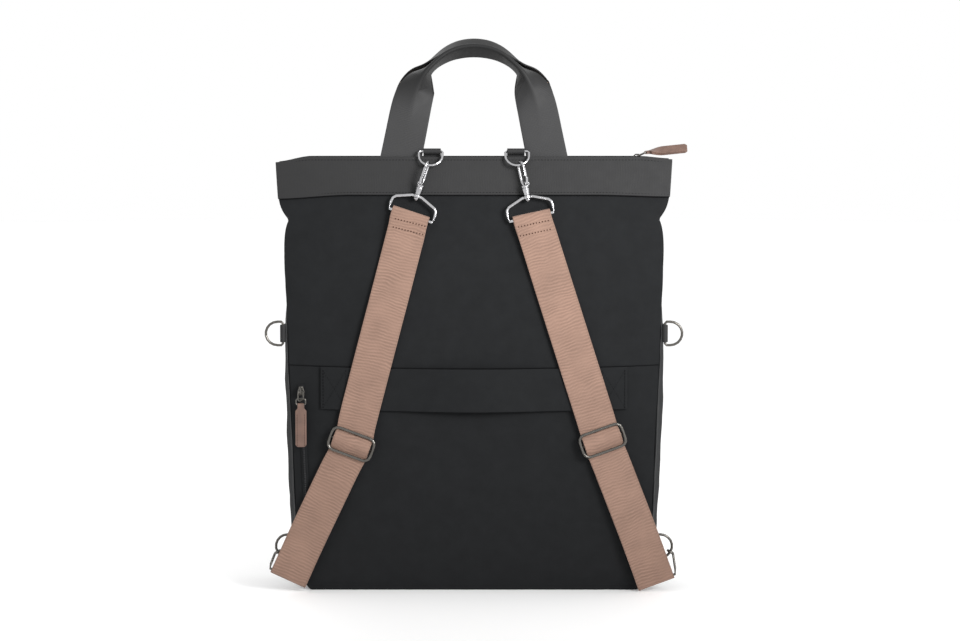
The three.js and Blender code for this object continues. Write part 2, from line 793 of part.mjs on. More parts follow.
// Side rings stand out from tabs that are sewn to the gusset just behind the back seam
function sideTabPlan(z) {
  const eye = ringWire + clearance + tabWall;
  const heights = [z - tabWidth / 2, z, z + tabWidth / 2];
  const face = (y) => Math.max(...heights.map((at) => {
    const deep = sectionAt(at).deep;
    return gussetPoint(y / deep, at, 1, fabricWall).x;
  }));
  const deep = sectionAt(z).deep;
  const barY = -deep + 2.5;
  const barX = face(barY) + clearance + eye;
  return { eye, face, deep, barX, barY };
}

function sideTab(hand, z) {
  const { eye, face, deep, barX, barY } = sideTabPlan(z);
  const stemEnd = -deep + 20;
  const stem = 2 * tabWall;
  const seat = (y) => face(y) + clearance;
  const outline = [
    [seat(stemEnd), stemEnd],
    [seat(stemEnd) + stem * 0.6, stemEnd],
    [seat(-deep + 8) + stem, -deep + 8],
    [barX + eye * 0.6, barY + eye * 0.8],
    ...arcPoints(barX, barY, eye, 30, -180, 9),
    [seat(-deep + 8), -deep + 8],
  ];
  const tab = plate(outline, tabWidth, [{ x: barX, y: barY, radius: ringWire + clearance }]);
  tab.translate(0, 0, z);
  return hand > 0 ? tab : mirrored(tab);
}

// The same solid on the other side of the middle plane, with its faces turned back out
function mirrored(geometry) {
  const copy = geometry.index ? geometry.toNonIndexed() : geometry.clone();
  copy.deleteAttribute('normal');
  copy.deleteAttribute('uv');
  copy.scale(-1, 1, 1);
  const at = copy.attributes.position;
  const kept = vector(0, 0, 0);
  const other = vector(0, 0, 0);
  for (let i = 0; i < at.count; i += 3) {
    kept.fromBufferAttribute(at, i);
    other.fromBufferAttribute(at, i + 1);
    at.setXYZ(i, other.x, other.y, other.z);
    at.setXYZ(i + 1, kept.x, kept.y, kept.z);
  }
  return copy;
}

function sideRing(hand, z) {
  const { barX, barY } = sideTabPlan(z);
  const ring = placed(ringShape(), vector(barX, barY, z), vector(0, 0, 1), vector(1, 0, 0), vector(0, 1, 0));
  return hand > 0 ? ring : mirrored(ring);
}

// The line of a shoulder strap over the back panel
function strapLine(side) {
  const flat = (across, up) => new THREE.Vector2(side.hand * across * bagHalfWidth, up * bagHeight);
  const hook = hookAxes(side);
  const bar = new THREE.Vector2(hook.bar.x, hook.bar.z);
  const hookHeading = bar.clone().sub(new THREE.Vector2(hook.ringBottom.x, hook.ringBottom.z)).normalize();
  const slider = flat(side.sliderAcross, side.sliderUp);
  const low = flat(side.lowAcross, side.lowUp);
  const upper = bar.distanceTo(slider);
  const lower = slider.distanceTo(low);
  const start = { bar: 0, slider: upper, low: upper + lower };
  const upperHeading = slider.clone().sub(bar).normalize();
  const lowerHeading = low.clone().sub(slider).normalize();
  const still = sliderHalfHeight + 3;
  const settle = strapWidth;
  const at = (along) => {
    const onUpper = along < upper;
    const base = onUpper ? bar : slider;
    const heading = onUpper ? upperHeading : lowerHeading;
    const point = base.clone().addScaledVector(heading, onUpper ? along : along - upper);
    const past = along - upper;
    const turned = Math.max(0, Math.min(0.5, (Math.abs(past) - still) / (2 * settle)));
    const share = 0.5 + Math.sign(past) * turned;
    const smooth = upperHeading.clone().lerp(lowerHeading, share).normalize();
    const hanging = Math.max(0, Math.min(1, 1 - along / (2 * settle)));
    return { point, heading: smooth.lerp(hookHeading, hanging).normalize() };
  };
  const onPanel = (point) => vector(point.x, -panelReach(point.x, point.y), point.y);
  // The frame over the panel: across the strap, down along it, and away from the bag
  const frame = (along) => {
    const { point, heading } = at(along);
    const reach = strapWidth / 2;
    const sideways = new THREE.Vector2(-heading.y, heading.x);
    const a = onPanel(point.clone().addScaledVector(sideways, -reach));
    const b = onPanel(point.clone().addScaledVector(sideways, reach));
    const place = onPanel(point);
    const across = b.clone().sub(a).normalize();
    const ahead = onPanel(point.clone().addScaledVector(heading, reach));
    const behind = onPanel(point.clone().addScaledVector(heading, -reach));
    const down = ahead.sub(behind).normalize();
    down.addScaledVector(across, -down.dot(across)).normalize();
    const away = across.clone().cross(down).normalize();
    if (away.y > 0) {
      away.negate();
    }
    return { place, across, down, away };
  };
  return { start, frame };
}

function shoulderStrap(side) {
  const line = strapLine(side);
  const places = [];
  for (const row of strapRoute) {
    const along = line.start[row.from] + row.along;
    if (row.turn) {
      const steps = 6;
      for (let i = 0; i <= steps; i += 1) {
        const angle = radians(mix(row.start, row.end, i / steps));
        const forward = row.from === 'low' ? 1 : -1;
        places.push({
          anchor: line.start[row.from],
          past: forward * row.turn * Math.cos(angle),
          off: row.off + row.turn * Math.sin(angle),
        });
      }
    } else if (Math.abs(row.along) <= sliderHalfHeight) {
      places.push({ anchor: line.start[row.from], past: row.along, off: row.off });
    } else {
      places.push({ anchor: along, past: 0, off: row.off });
    }
  }
  // Close to a fitting the webbing follows the fitting's own straight frame
  const spots = places.map(({ anchor, past, off }) => {
    const frame = line.frame(anchor);
    const place = frame.place.clone().addScaledVector(frame.down, past).addScaledVector(frame.away, off);
    return { place, across: frame.across };
  });
  const half = strapThickness / 2;
  const loops = spots.map((spot, i) => {
    const before = spots[Math.max(i - 1, 0)].place;
    const after = spots[Math.min(i + 1, spots.length - 1)].place;
    const tangent = after.clone().sub(before).normalize();
    const normal = tangent.clone().cross(spot.across).normalize();
    const reach = strapWidth / 2;
    const corner = (w, n) => spot.place.clone()
      .addScaledVector(spot.across, w * reach)
      .addScaledVector(normal, n * half);
    return [corner(-1, -1), corner(1, -1), corner(1, 1), corner(-1, 1)];
  });
  return loftStrip(loops);
}

// The strap slider: an oval frame over the webbing with a bar that dips under it
function strapSlider(side) {
  const line = strapLine(side);
  const { place, across, down, away } = line.frame(line.start.slider);
  const corner = sliderCorner;
  const w = sliderHalfLength;
  const h = sliderHalfHeight;
  const outline = [
    ...arcPoints(w - corner, h - corner, corner, 0, 90, 3),
    ...arcPoints(-w + corner, h - corner, corner, 90, 180, 3),
    ...arcPoints(-w + corner, -h + corner, corner, 180, 270, 3),
    ...arcPoints(w - corner, -h + corner, corner, 270, 360, 3),
  ];
  const frame = wire(outline.map(([x, y]) => vector(x, y, 0)), sliderWire, vector(0, 0, 1), true);
  const dip = -sliderBarDrop;
  const clear = strapWidth / 2 + clearance + sliderBarWire;
  const bar = [
    vector(-w, 0, 0), vector(-w + 0.4, 0, dip * 0.6), vector(-clear, 0, dip),
    vector(clear, 0, dip), vector(w - 0.4, 0, dip * 0.6), vector(w, 0, 0),
  ];
  const whole = joined([frame, wire(bar, sliderBarWire, vector(0, 1, 0))]);
  const centre = place.clone().addScaledVector(away, sliderStandOff);
  const third = across.clone().cross(down);
  const turned = placed(whole, centre, across, down, third);
  return third.dot(away) > 0 ? turned : placed(whole, centre, across.clone().negate(), down, away);
}

// The hook hangs from the top ring, and the strap's frame swivels on its post
const hookBase = frameApex + frameBossHeight / 2 + clearance + barrelLength;
const hookLoopCentre = hookBase + hookLength - hookLoopRadius - hookWire;
const hookReach = hookLoopCentre + hookLoopRadius - hookWire - ringWire - clearance;

function hookAxes(side) {
  const barOff = strapRoute.find((row) => row.from === 'bar' && row.turn).off;
  const tilt = radians(ringTilt);
  const bow = ringDepth;
  const ringBottom = vector(
    side.hand * (ringStance + ringContactShift),
    -topRingReach - Math.sin(tilt) * bow,
    topRingHeight - Math.cos(tilt) * bow + ringWire / 3,
  );
  const bar = vector(side.hand * side.barAcross * bagHalfWidth, 0, side.barUp * bagHeight);
  for (let i = 0; i < 5; i += 1) {
    bar.y = -panelReach(bar.x, bar.z) - barOff;
    const up = ringBottom.clone().sub(bar).normalize();
    bar.copy(ringBottom).addScaledVector(up, -hookReach);
  }
  const up = ringBottom.clone().sub(bar).normalize();
  return { bar, ringBottom, up };
}

// Drawn in the hook's own frame: x towards the gate, y up the hook, z across it
const pivotAcross = hookLoopRadius - 0.9;
const pivotUp = 2.2;
const cheekThickness = 0.9;
const postRadius = 1.5;
const postLength = 7;

function hookBody() {
  const top = hookLoopCentre - hookBase;
  const shank = [
    [-1.2, -0.6], [-hookLoopRadius * 0.8, 2.6], [-hookLoopRadius, 6],
    [-hookLoopRadius, top],
    ...arcPoints(0, top, hookLoopRadius, 180, 0, 8).slice(1),
    [hookLoopRadius, top - 1.5],
  ];
  const hook = wire(shank.map(([x, y]) => vector(x, y, 0)), hookWire, vector(0, 0, 1), false, 8);
  const collarHeight = 2.2;
  const collar = new THREE.CylinderGeometry(barrelRadius, barrelRadius * 0.94, collarHeight, 10)
    .translate(0, -collarHeight / 2, 0);
  const waistRadius = barrelRadius * 0.78;
  const waist = new THREE.CylinderGeometry(waistRadius, waistRadius, 2, 10).translate(0, -2.6, 0);
  const lowerTop = 3;
  const lowerHeight = barrelLength - lowerTop;
  const lower = new THREE.CylinderGeometry(barrelRadius * 0.94, barrelRadius * 0.7, lowerHeight, 10)
    .translate(0, -lowerTop - lowerHeight / 2, 0);
  const post = new THREE.CylinderGeometry(postRadius, postRadius, postLength, 8)
    .translate(0, 1 - barrelLength - postLength / 2, 0);
  const headDrop = barrelLength + frameBossHeight + 2 * clearance;
  const headHeight = 1.6;
  const head = new THREE.CylinderGeometry(2.8, 2.2, headHeight, 8)
    .translate(0, -headDrop - headHeight / 2, 0);
  const cheekGap = gateThickness / 2 + clearance;
  const cheek = [
    [pivotAcross - 2, -0.5],
    [pivotAcross + 1.2, -0.5],
    [pivotAcross + 1.7, pivotUp],
    [pivotAcross, pivotUp + 1.5],
    [pivotAcross - 2, pivotUp],
  ];
  const cheeks = [-1, 1].map((turn) => (
    plate(cheek, cheekThickness).translate(0, 0, turn * (cheekGap + cheekThickness / 2))
  ));
  const pinLength = 2 * cheekGap + cheekThickness * 1.3;
  const pin = new THREE.CylinderGeometry(pinRadius, pinRadius, pinLength, 8)
    .rotateX(Math.PI / 2).translate(pivotAcross, pivotUp, 0);
  return joined([hook, collar, waist, lower, post, head, ...cheeks, pin]);
}

// The sprung gate closes the hook's mouth, from its pin up to the hook's tip
function hookGate() {
  const top = hookLoopCentre - hookBase - 1.5 - clearance;
  const half = gateThickness / 2;
  const hub = gateSwingRadius;
  const outline = [
    ...arcPoints(pivotAcross, pivotUp, hub, 160, 330, 6),
    [pivotAcross + 2.4, pivotUp + 2.4],
    [hookLoopRadius + half + 1.3, pivotUp + 5.2],
    [hookLoopRadius + half, pivotUp + 6.6],
    [hookLoopRadius + half, top],
    [hookLoopRadius - half, top],
    [hookLoopRadius - half, pivotUp + 4],
    [pivotAcross - hub * 0.9, pivotUp + 1.6],
  ];
  return plate(outline, gateThickness, [{ x: pivotAcross, y: pivotUp, radius: pinRadius + clearance }]);
}

function hookFrame() {
  const half = frameHalfWidth;
  const bossHalf = 5;
  const outline = [
    [-half, 0], [half, 0], [half + 0.6, frameArm * 0.55], [half, frameArm - 1],
    [half - 2.4, frameArm + 1.6], [bossHalf + 3, frameApex - 1.2], [bossHalf, frameApex],
    [-bossHalf, frameApex], [-bossHalf - 3, frameApex - 1.2], [-half + 2.4, frameArm + 1.6],
    [-half, frameArm - 1], [-half - 0.6, frameArm * 0.55],
  ];
  const loop = wire(outline.map(([x, y]) => vector(x, y, 0)), frameWire, vector(0, 0, 1), true);
  const bossRadius = 3.8;
  const boss = new THREE.CylinderGeometry(bossRadius, bossRadius, frameBossHeight, 14)
    .translate(0, frameApex, 0);
  const boreRadius = postRadius + clearance;
  const bore = new THREE.CylinderGeometry(boreRadius, boreRadius, frameBossHeight * 4, 12)
    .translate(0, frameApex, 0);
  return cut(joined([loop, boss]), [bore]);
}

function hookPieces(side) {
  const { bar, up } = hookAxes(side);
  const strap = strapLine(side).frame(0);
  const frameUp = up.clone().addScaledVector(strap.across, -up.dot(strap.across)).normalize();
  const base = bar.clone().addScaledVector(up, hookBase);
  const toGate = vector(0, -1, 0);
  toGate.addScaledVector(up, -toGate.dot(up)).normalize();
  toGate.applyAxisAngle(up, side.hand * radians(side.hookTwist));
  const third = toGate.clone().cross(up);
  return {
    body: placed(hookBody(), base, toGate, up, third),
    gate: placed(hookGate(), base, toGate, up, third),
    frame: placed(hookFrame(), bar, strap.across, frameUp, strap.across.clone().cross(frameUp)),
  };
}

// The hidden hook at the strap's foot is one bent wire: a bar in the fold of the webbing, an arm past
// its edge, and an eye round the low ring
function lowHook(side) {
  const line = strapLine(side);
  const lowRow = strapRoute.find((row) => row.from === 'low' && row.turn);
  const frame = line.frame(line.start.low);
  const centre = frame.place.clone().addScaledVector(frame.away, lowRow.off);
  const { barX, barY } = sideTabPlan(lowRingHeight);
  const angle = radians(lowContactAngle);
  const bow = ringBar / 2;
  const onRing = vector(
    side.hand * (barX + ringDepth - bow + bow * Math.cos(angle)),
    barY,
    lowRingHeight - bow * Math.sin(angle),
  );
  const along = vector(side.hand * Math.sin(angle), 0, Math.cos(angle));
  const radial = vector(side.hand * Math.cos(angle), 0, -Math.sin(angle));
  const eyeRadius = ringWire + lowHookWire + clearance;
  const forward = vector(0, -1, 0);
  const eyePoints = arcPoints(0, 0, eyeRadius, 0, 324, 9).map(([x, y]) => onRing.clone()
    .addScaledVector(radial, x)
    .addScaledVector(forward, y));
  const eye = wire(eyePoints, lowHookWire, along, true);
  const outward = frame.across.clone().multiplyScalar(side.hand);
  const edge = strapWidth / 2 + 2 * clearance + lowHookWire;
  const inEnd = centre.clone().addScaledVector(outward, -strapWidth / 2 + 1);
  const bend = centre.clone().addScaledVector(outward, edge);
  const touch = onRing.clone().addScaledVector(radial, eyeRadius);
  const arm = bend.clone().lerp(touch, 0.3).addScaledVector(outward, 0.6);
  const bar = wire([inEnd, bend, arm, touch], lowHookWire, forward);
  return joined([bar, eye]);
}

// Materials
function finish(color, roughness, metalness = 0) {
  return new THREE.MeshStandardMaterial({ color, roughness, metalness });
}

const fabric = finish(0x3a3b3d, 0.9);
const webbing = finish(0x454545, 0.85);
const lining = finish(0xb59683, 0.8);
const strapWebbing = finish(0xa98878, 0.85);
const leather = finish(0xb08775, 0.6);
const chrome = finish(0xc9cacc, 0.18, 1);
const gunmetal = finish(0x4a4848, 0.3, 1);
const zipCloth = finish(0x222224, 0.8);

// The assembly
const backpack = new THREE.Group();

function add(name, geometry, material) {
  const mesh = new THREE.Mesh(geometry, material);
  mesh.name = name;
  backpack.add(mesh);
  return mesh;
}

const floor = () => 0;
const rimLine = () => bagHeight;
const bandFoot = () => bagHeight - bandHeight;

add('back_upper_panel', panelPiece(-1, (u) => seamHeight(u) + clearance, rimLine, 0, -fabricWall), fabric);
add('back_lower_panel', panelPiece(-1, floor, (u) => seamHeight(u), 0, -fabricWall), fabric);
add('front_panel', panelPiece(1, floor, rimLine, 0, -fabricWall), fabric);
add('gusset_left', gusset(-1), fabric);
add('gusset_right', gusset(1), fabric);
add('base_panel', basePanel(), fabric);
add('band_back', panelPiece(-1, bandFoot, rimLine, clearance + bandWall, clearance), webbing);
add('band_front', panelPiece(1, bandFoot, rimLine, clearance + bandWall, clearance), webbing);
add('top_zip_tape', topZipTape(), zipCloth);
add('top_zip_chain', topZipChain(), zipCloth);
add('trolley_sleeve', trolleySleeve(), fabric);
add('pocket_zip_tape', pocketZipTape(), zipCloth);

function addTopZipPull() {
  const x = bagHalfWidth - zipSliderInset;
  const seat = vector(x, 0, zipTapeTop + clearance);
  const axes = [vector(1, 0, 0), vector(0, 1, 0), vector(0, 0, 1)];
  add('top_zip_slider', placed(zipSliderBody(), seat, ...axes), gunmetal);
  const start = vector(x, 0, seat.z + bridgeEye);
  const reach = linkLength / 2 - linkWire;
  const linkRise = radians(topLinkTilt);
  const linkAlong = vector(Math.cos(linkRise), 0, Math.sin(linkRise));
  const linkLift = vector(-Math.sin(linkRise), 0, Math.cos(linkRise));
  const centre = start.clone().addScaledVector(linkAlong, reach);
  const link = wireLink(linkLength, pullWidth, linkCorner);
  add('top_zip_link', placed(link, centre, linkAlong, axes[1], linkLift), gunmetal);
  const eye = start.clone().addScaledVector(linkAlong, 2 * reach);
  const tilt = radians(topPullTilt);
  const rise = vector(Math.cos(tilt), 0, Math.sin(tilt));
  const lift = vector(-Math.sin(tilt), 0, Math.cos(tilt));
  add('top_zip_pull', placed(leatherPull(), eye, rise, axes[1], lift), leather);
}
addTopZipPull();

function addPocketZipPull() {
  const z = pocketZipTop - zipSliderLength * 0.7;
  const x = pocketZipAcross(z);
  const surface = panelReach(x, z) + pocketZipRelief + 2 * clearance;
  const seat = vector(x, -surface, z);
  const down = vector(0, 0, -1);
  const out = vector(0, -1, 0);
  const across = out.clone().cross(down);
  add('pocket_zip_slider', placed(zipSliderBody(), seat, down, across, out), gunmetal);
  const eye = vector(x, -surface - bridgeEye, z);
  const reach = linkLength / 2 - linkWire;
  const turn = radians(pocketLinkTurn);
  const linkAcross = vector(Math.cos(turn), Math.sin(turn), 0);
  const linkOut = down.clone().cross(linkAcross);
  const first = eye.clone().addScaledVector(down, reach);
  const link = wireLink(linkLength, linkWidth, linkCorner);
  add('pocket_zip_link', placed(link, first, down, linkAcross, linkOut), gunmetal);
  const ringLength = linkLength * 0.68;
  const ringHalf = ringLength / 2 - linkWire;
  const ringTop = first.clone().addScaledVector(down, reach - 2 * linkWire - clearance);
  const second = ringTop.clone().addScaledVector(down, ringHalf);
  const ring = wireLink(ringLength, pullWidth, linkCorner);
  add('pocket_zip_ring', placed(ring, second, down, across, out), gunmetal);
  const hang = second.clone().addScaledVector(down, ringHalf);
  add('pocket_zip_pull', placed(leatherPull(), hang, down, across, out), leather);
}
addPocketZipPull();

const handleSides = [
  { name: 'handle_back', face: -1, rise: handleRise },
  { name: 'handle_front', face: 1, rise: handleRise + farHandleExtra },
];
for (const { name, face, rise } of handleSides) {
  add(name, handle(face, rise), webbing);
  add(`${name}_lining_left`, handleLining(face, rise, -1), lining);
  add(`${name}_lining_right`, handleLining(face, rise, 1), lining);
}

for (const side of strapSides) {
  add(`top_tab_${side.name}`, topTab(side.hand), webbing);
  add(`top_ring_${side.name}`, topRing(side.hand), chrome);
  add(`side_tab_${side.name}`, sideTab(side.hand, sideRingHeight), webbing);
  add(`side_ring_${side.name}`, sideRing(side.hand, sideRingHeight), gunmetal);
  add(`low_tab_${side.name}`, sideTab(side.hand, lowRingHeight), webbing);
  add(`low_ring_${side.name}`, sideRing(side.hand, lowRingHeight), gunmetal);
  const hook = hookPieces(side);
  add(`hook_${side.name}`, hook.body, chrome);
  add(`hook_gate_${side.name}`, hook.gate, chrome);
  add(`hook_frame_${side.name}`, hook.frame, chrome);
  add(`shoulder_strap_${side.name}`, shoulderStrap(side), strapWebbing);
  add(`strap_slider_${side.name}`, strapSlider(side), gunmetal);
  add(`low_hook_${side.name}`, lowHook(side), gunmetal);
}

export default backpack;
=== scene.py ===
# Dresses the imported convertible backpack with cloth, webbing, leather, metal and thread.
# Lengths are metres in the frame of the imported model: X across, -Y the strap side, Z up from the floor.
from math import cos, pi, radians, sin

import bmesh
import bpy
import numpy as np
from bpy.props import FloatProperty, FloatVectorProperty, IntProperty, PointerProperty
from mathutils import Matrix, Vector, noise
from mathutils.bvhtree import BVHTree


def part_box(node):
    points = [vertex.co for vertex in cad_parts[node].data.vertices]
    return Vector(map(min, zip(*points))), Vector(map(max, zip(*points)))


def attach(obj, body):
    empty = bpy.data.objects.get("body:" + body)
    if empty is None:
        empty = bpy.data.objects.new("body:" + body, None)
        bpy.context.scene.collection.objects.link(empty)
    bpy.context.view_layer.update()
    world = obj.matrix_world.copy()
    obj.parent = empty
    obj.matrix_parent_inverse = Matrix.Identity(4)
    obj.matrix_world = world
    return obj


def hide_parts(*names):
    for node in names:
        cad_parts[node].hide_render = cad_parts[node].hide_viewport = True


bl_info = {
    "name": "Convertible backpack",
    "version": (1, 0, 0),
    "blender": (4, 5, 0),
    "location": "View3D > Sidebar > Backpack",
    "description": "Cloth, webbing, fittings and stitching for a convertible backpack",
    "category": "Object",
}

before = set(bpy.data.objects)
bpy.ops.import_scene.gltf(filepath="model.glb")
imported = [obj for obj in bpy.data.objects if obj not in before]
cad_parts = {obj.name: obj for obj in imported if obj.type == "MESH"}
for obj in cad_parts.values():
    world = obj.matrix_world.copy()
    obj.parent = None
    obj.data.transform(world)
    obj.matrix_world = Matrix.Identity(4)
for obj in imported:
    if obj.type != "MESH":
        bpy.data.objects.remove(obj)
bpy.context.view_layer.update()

MM = 0.001
SIDES = ("left", "right")
HAND = {"left": -1, "right": 1}

# The middle line of each shoulder strap, seen from the strap side: top bar, slider, lower end
STRAP_LINES = {
    "left": ((-0.0627, 0.3751), (-0.1210, 0.1498), (-0.1845, 0.0158)),
    "right": ((0.0572, 0.3737), (0.1269, 0.1533), (0.1814, 0.0114)),
}

# The middle line of a carry handle, from its left seat to its crown
HANDLE_HALF = (
    (-0.080, 0.399),
    (-0.075, 0.433),
    (-0.064, 0.478),
    (-0.046, 0.510),
    (-0.022, 0.531),
    (0.0, 0.536),
)

# Heights where painted shade starts to darken the handles' crown and where it is full,
# and the share of the colour that is left there. The shade is painted: the crown faces up, away from the
# light.
CROWN_SHADE_FROM = 0.475
CROWN_SHADE_FULL = 0.520
CROWN_SHADE_SHARE = 0.30

# Distance between the webbing's fine yarns, and where its firm edge starts on each side
YARN_PITCH = 1.4 * MM
SELVEDGE_START = 17.4 * MM

# The pocket zip's slit, top and lower end
POCKET_SLIT = ((-0.1717, 0.206), (-0.1668, 0.088))

# Sizes of the top zip's and the pocket zip's teeth: along the zip, then its other two ways
TOP_TOOTH = (1.0 * MM, 4.6 * MM, 0.6 * MM)
POCKET_TOOTH = (1.0 * MM, 0.5 * MM, 2.0 * MM)

# Middles and slope of the two sewn rows under each strap's top fold, and half their length
STRAP_ROWS = {
    "left": ((-0.0630, 0.3684), (-0.0652, 0.3602), (0.970, -0.243)),
    "right": ((0.0590, 0.3672), (0.0608, 0.3583), (0.977, 0.213)),
}
STRAP_ROW_HALF = 0.0150

# How far each end of the rim settles below its middle. The drop grows from a start on the band's foot
# or on the rim out to the rim's end, and upwards between two heights.
CORNER_DROP = {"left": 5.5 * MM, "right": 2.5 * MM}
FOOT_DROP_START = 0.120
RIM_DROP_START = 0.165
RIM_HALF = 0.200
DROP_FROM = 0.345
DROP_FULL = 0.420

# Edge roundings of the shell cloth and of the thin zip and lining strips
CLOTH_EDGE = 0.35 * MM
STRIP_EDGE = 0.2 * MM

# Cells of the fine meshes that round the webbing tabs, the leather pulls, the zip sliders and their wires
TAB_CELL = 0.4 * MM
LEATHER_CELL = 0.3 * MM
SLIDER_CELL = 0.22 * MM
WIRE_CELL = 0.18 * MM

# Free half widths of the panels' cloth: above the middle seam and on the front, and below the seam
UPPER_FREE_HALF = 0.180
LOWER_FREE_HALF = 0.172

# How far from its sides and from its seams the cloth is still held back
SIDE_HOLD = 0.045
SEAM_HOLD = 0.03

# How far the gussets swell out below the middle seam, and how deep their folds are
GUSSET_SWELL = 4.2 * MM
GUSSET_FOLD = 2.2 * MM

# How high threads lie above the cloth: raised on the bands, plain elsewhere, and sunk
RAISED_LIFT = 0.12 * MM
THREAD_LIFT = 0.1 * MM
SUNK_LIFT = 0.05 * MM

# Half the length of the sewn rows on the bands
BAND_ROW_HALF = 0.193

# Each band's side: -1 is the strap side
BAND_FACES = ((-1, "back"), (1, "front"))

# How much of a metal piece's surface the smoothing takes away, which is given back
CAST_LOSS = 0.1 * MM

# How far the top zip's lying pull rolls about its length
PULL_ROLL = radians(38)

# Heights of the band's foot, the rim and the middle seam
BAND_LINE = 0.395
RIM_LINE = 0.433
SEAM_LINE = 0.227

# Each light's place, the point that it faces, its side and the spread of its beam
KEY_LIGHT = ((0.75, -0.95, 0.74), (0.06, -0.04, 0.45), 0.5, radians(54))
FILL_LIGHT = ((1.8, -1.5, 1.1), (0, 0, 0.25), 1.4, pi)
BACK_LIGHT = ((-0.6, 1.9, 1.6), (0, 0, 0.3), 1.2, pi)

# The point that the camera faces, and the floor's radius, its white and the size of its faint patches
CAMERA_AIM = (0.006, -0.060, 0.272)
FLOOR_RADIUS = 9.0
FLOOR_WHITE = (0.965, 0.965, 0.965)
FLOOR_PATCH = 0.4

# The finished pieces, by name
made = {}


# Sizes and colours

class ClothSettings(bpy.types.PropertyGroup):
    """The shell's woven cloth"""

    colour: FloatVectorProperty(
        name="Shell colour", description="Colour of the shell cloth",
        subtype="COLOR", size=3, min=0, max=1, default=(0.0080, 0.0086, 0.0094))
    weave: FloatProperty(
        name="Weave pitch", description="Distance from thread to thread",
        unit="LENGTH", default=0.9 * MM)
    ripple: FloatProperty(
        name="Ripple depth", description="How far the cloth sinks between its seams",
        unit="LENGTH", default=1.8 * MM)
    levels: IntProperty(
        name="Smoothing", description="Rounds of subdivision on the cloth panels",
        default=2, min=1, max=3)


class WebbingSettings(bpy.types.PropertyGroup):
    """The bands, handles and straps"""

    dark: FloatVectorProperty(
        name="Band colour", description="Colour of the rim bands and tabs",
        subtype="COLOR", size=3, min=0, max=1, default=(0.0145, 0.0145, 0.0150))
    grip: FloatVectorProperty(
        name="Handle colour", description="Colour of the carry handles",
        subtype="COLOR", size=3, min=0, max=1, default=(0.0255, 0.0255, 0.0262))
    rose: FloatVectorProperty(
        name="Strap colour", description="Colour of the shoulder straps",
        subtype="COLOR", size=3, min=0, max=1, default=(0.225, 0.138, 0.103))
    lining: FloatVectorProperty(
        name="Lining colour", description="Colour of the strip inside the handles",
        subtype="COLOR", size=3, min=0, max=1, default=(0.50, 0.33, 0.23))
    rib: FloatProperty(
        name="Rib pitch", description="Distance from rib to rib along the webbing",
        unit="LENGTH", default=3.1 * MM)
    edge: FloatProperty(
        name="Edge round", description="Rounding of the webbing's edges",
        unit="LENGTH", default=0.4 * MM)


class FittingSettings(bpy.types.PropertyGroup):
    """Rings, hooks, sliders and leather pulls"""

    bright: FloatVectorProperty(
        name="Bright metal", description="Colour of the top rings, hooks and frames",
        subtype="COLOR", size=3, min=0, max=1, default=(0.47, 0.47, 0.48))
    dark: FloatVectorProperty(
        name="Dark metal", description="Colour of the sliders and side rings",
        subtype="COLOR", size=3, min=0, max=1, default=(0.125, 0.118, 0.108))
    leather: FloatVectorProperty(
        name="Leather colour", description="Colour of the zip pulls",
        subtype="COLOR", size=3, min=0, max=1, default=(0.125, 0.072, 0.054))
    grain: FloatProperty(
        name="Cast grain", description="Cell of the fine mesh that rounds the metal's edges",
        unit="LENGTH", default=0.32 * MM)


class ThreadSettings(bpy.types.PropertyGroup):
    """Sewing thread and zip teeth"""

    pitch: FloatProperty(
        name="Stitch pitch", description="Distance from stitch to stitch",
        unit="LENGTH", default=3.2 * MM)
    length: FloatProperty(
        name="Stitch length", description="Length of one stitch",
        unit="LENGTH", default=2.2 * MM)
    radius: FloatProperty(
        name="Thread radius", description="Half the thickness of the thin threads",
        unit="LENGTH", default=0.2 * MM)
    tooth: FloatProperty(
        name="Tooth pitch", description="Distance from zip tooth to zip tooth",
        unit="LENGTH", default=1.8 * MM)


class StudioSettings(bpy.types.PropertyGroup):
    """Floor, light and camera"""

    lens: FloatProperty(
        name="Lens", description="Focal length in millimetres", default=100.0, min=20.0, max=200.0)
    distance: FloatProperty(
        name="Distance", description="From the camera to the bag's strap side",
        unit="LENGTH", default=2.635)
    rise: FloatProperty(
        name="Camera rise", description="How far the camera looks down",
        subtype="ANGLE", default=radians(4.5))
    key: FloatProperty(
        name="Key light", description="Power of the main soft light in watts", default=2.4)
    fill: FloatProperty(
        name="Fill light", description="Power of the second soft light in watts", default=2.0)
    sky: FloatProperty(
        name="Sky", description="Strength of the white surroundings", default=1.0)


# Shader helpers

def new_material(name):
    """An empty node material with its shader."""
    material = bpy.data.materials.new(name)
    material.use_nodes = True
    return material, material.node_tree, material.node_tree.nodes["Principled BSDF"]


def linked(tree, kind, **inputs):
    """A new node whose named inputs are set from numbers or joined to sockets."""
    node = tree.nodes.new(kind)
    for name, value in inputs.items():
        socket = node.inputs[name.replace("_", " ")]
        if isinstance(value, bpy.types.NodeSocket):
            tree.links.new(value, socket)
        else:
            socket.default_value = value
    return node


def arithmetic(tree, operation, first, second=None, third=None):
    """A math node's result."""
    node = tree.nodes.new("ShaderNodeMath")
    node.operation = operation
    for place, value in enumerate((first, second, third)):
        if value is None:
            continue
        if isinstance(value, bpy.types.NodeSocket):
            tree.links.new(value, node.inputs[place])
        else:
            node.inputs[place].default_value = value
    return node.outputs[0]


def place_socket(tree):
    """The point's own place in the frame."""
    return tree.nodes.new("ShaderNodeTexCoord").outputs["Object"]


def bands(tree, direction, pitch):
    """Threads across one axis, as a wave from 0 to 1."""
    wave = linked(tree, "ShaderNodeTexWave", Vector=place_socket(tree), Scale=pi / (10 * pitch))
    wave.bands_direction = direction
    return wave.outputs["Fac"]


def speckle(tree, size, detail=3.0):
    """Soft noise with patches of the given size."""
    cloud = linked(tree, "ShaderNodeTexNoise", Vector=place_socket(tree), Scale=1 / size, Detail=detail)
    return cloud.outputs["Fac"]


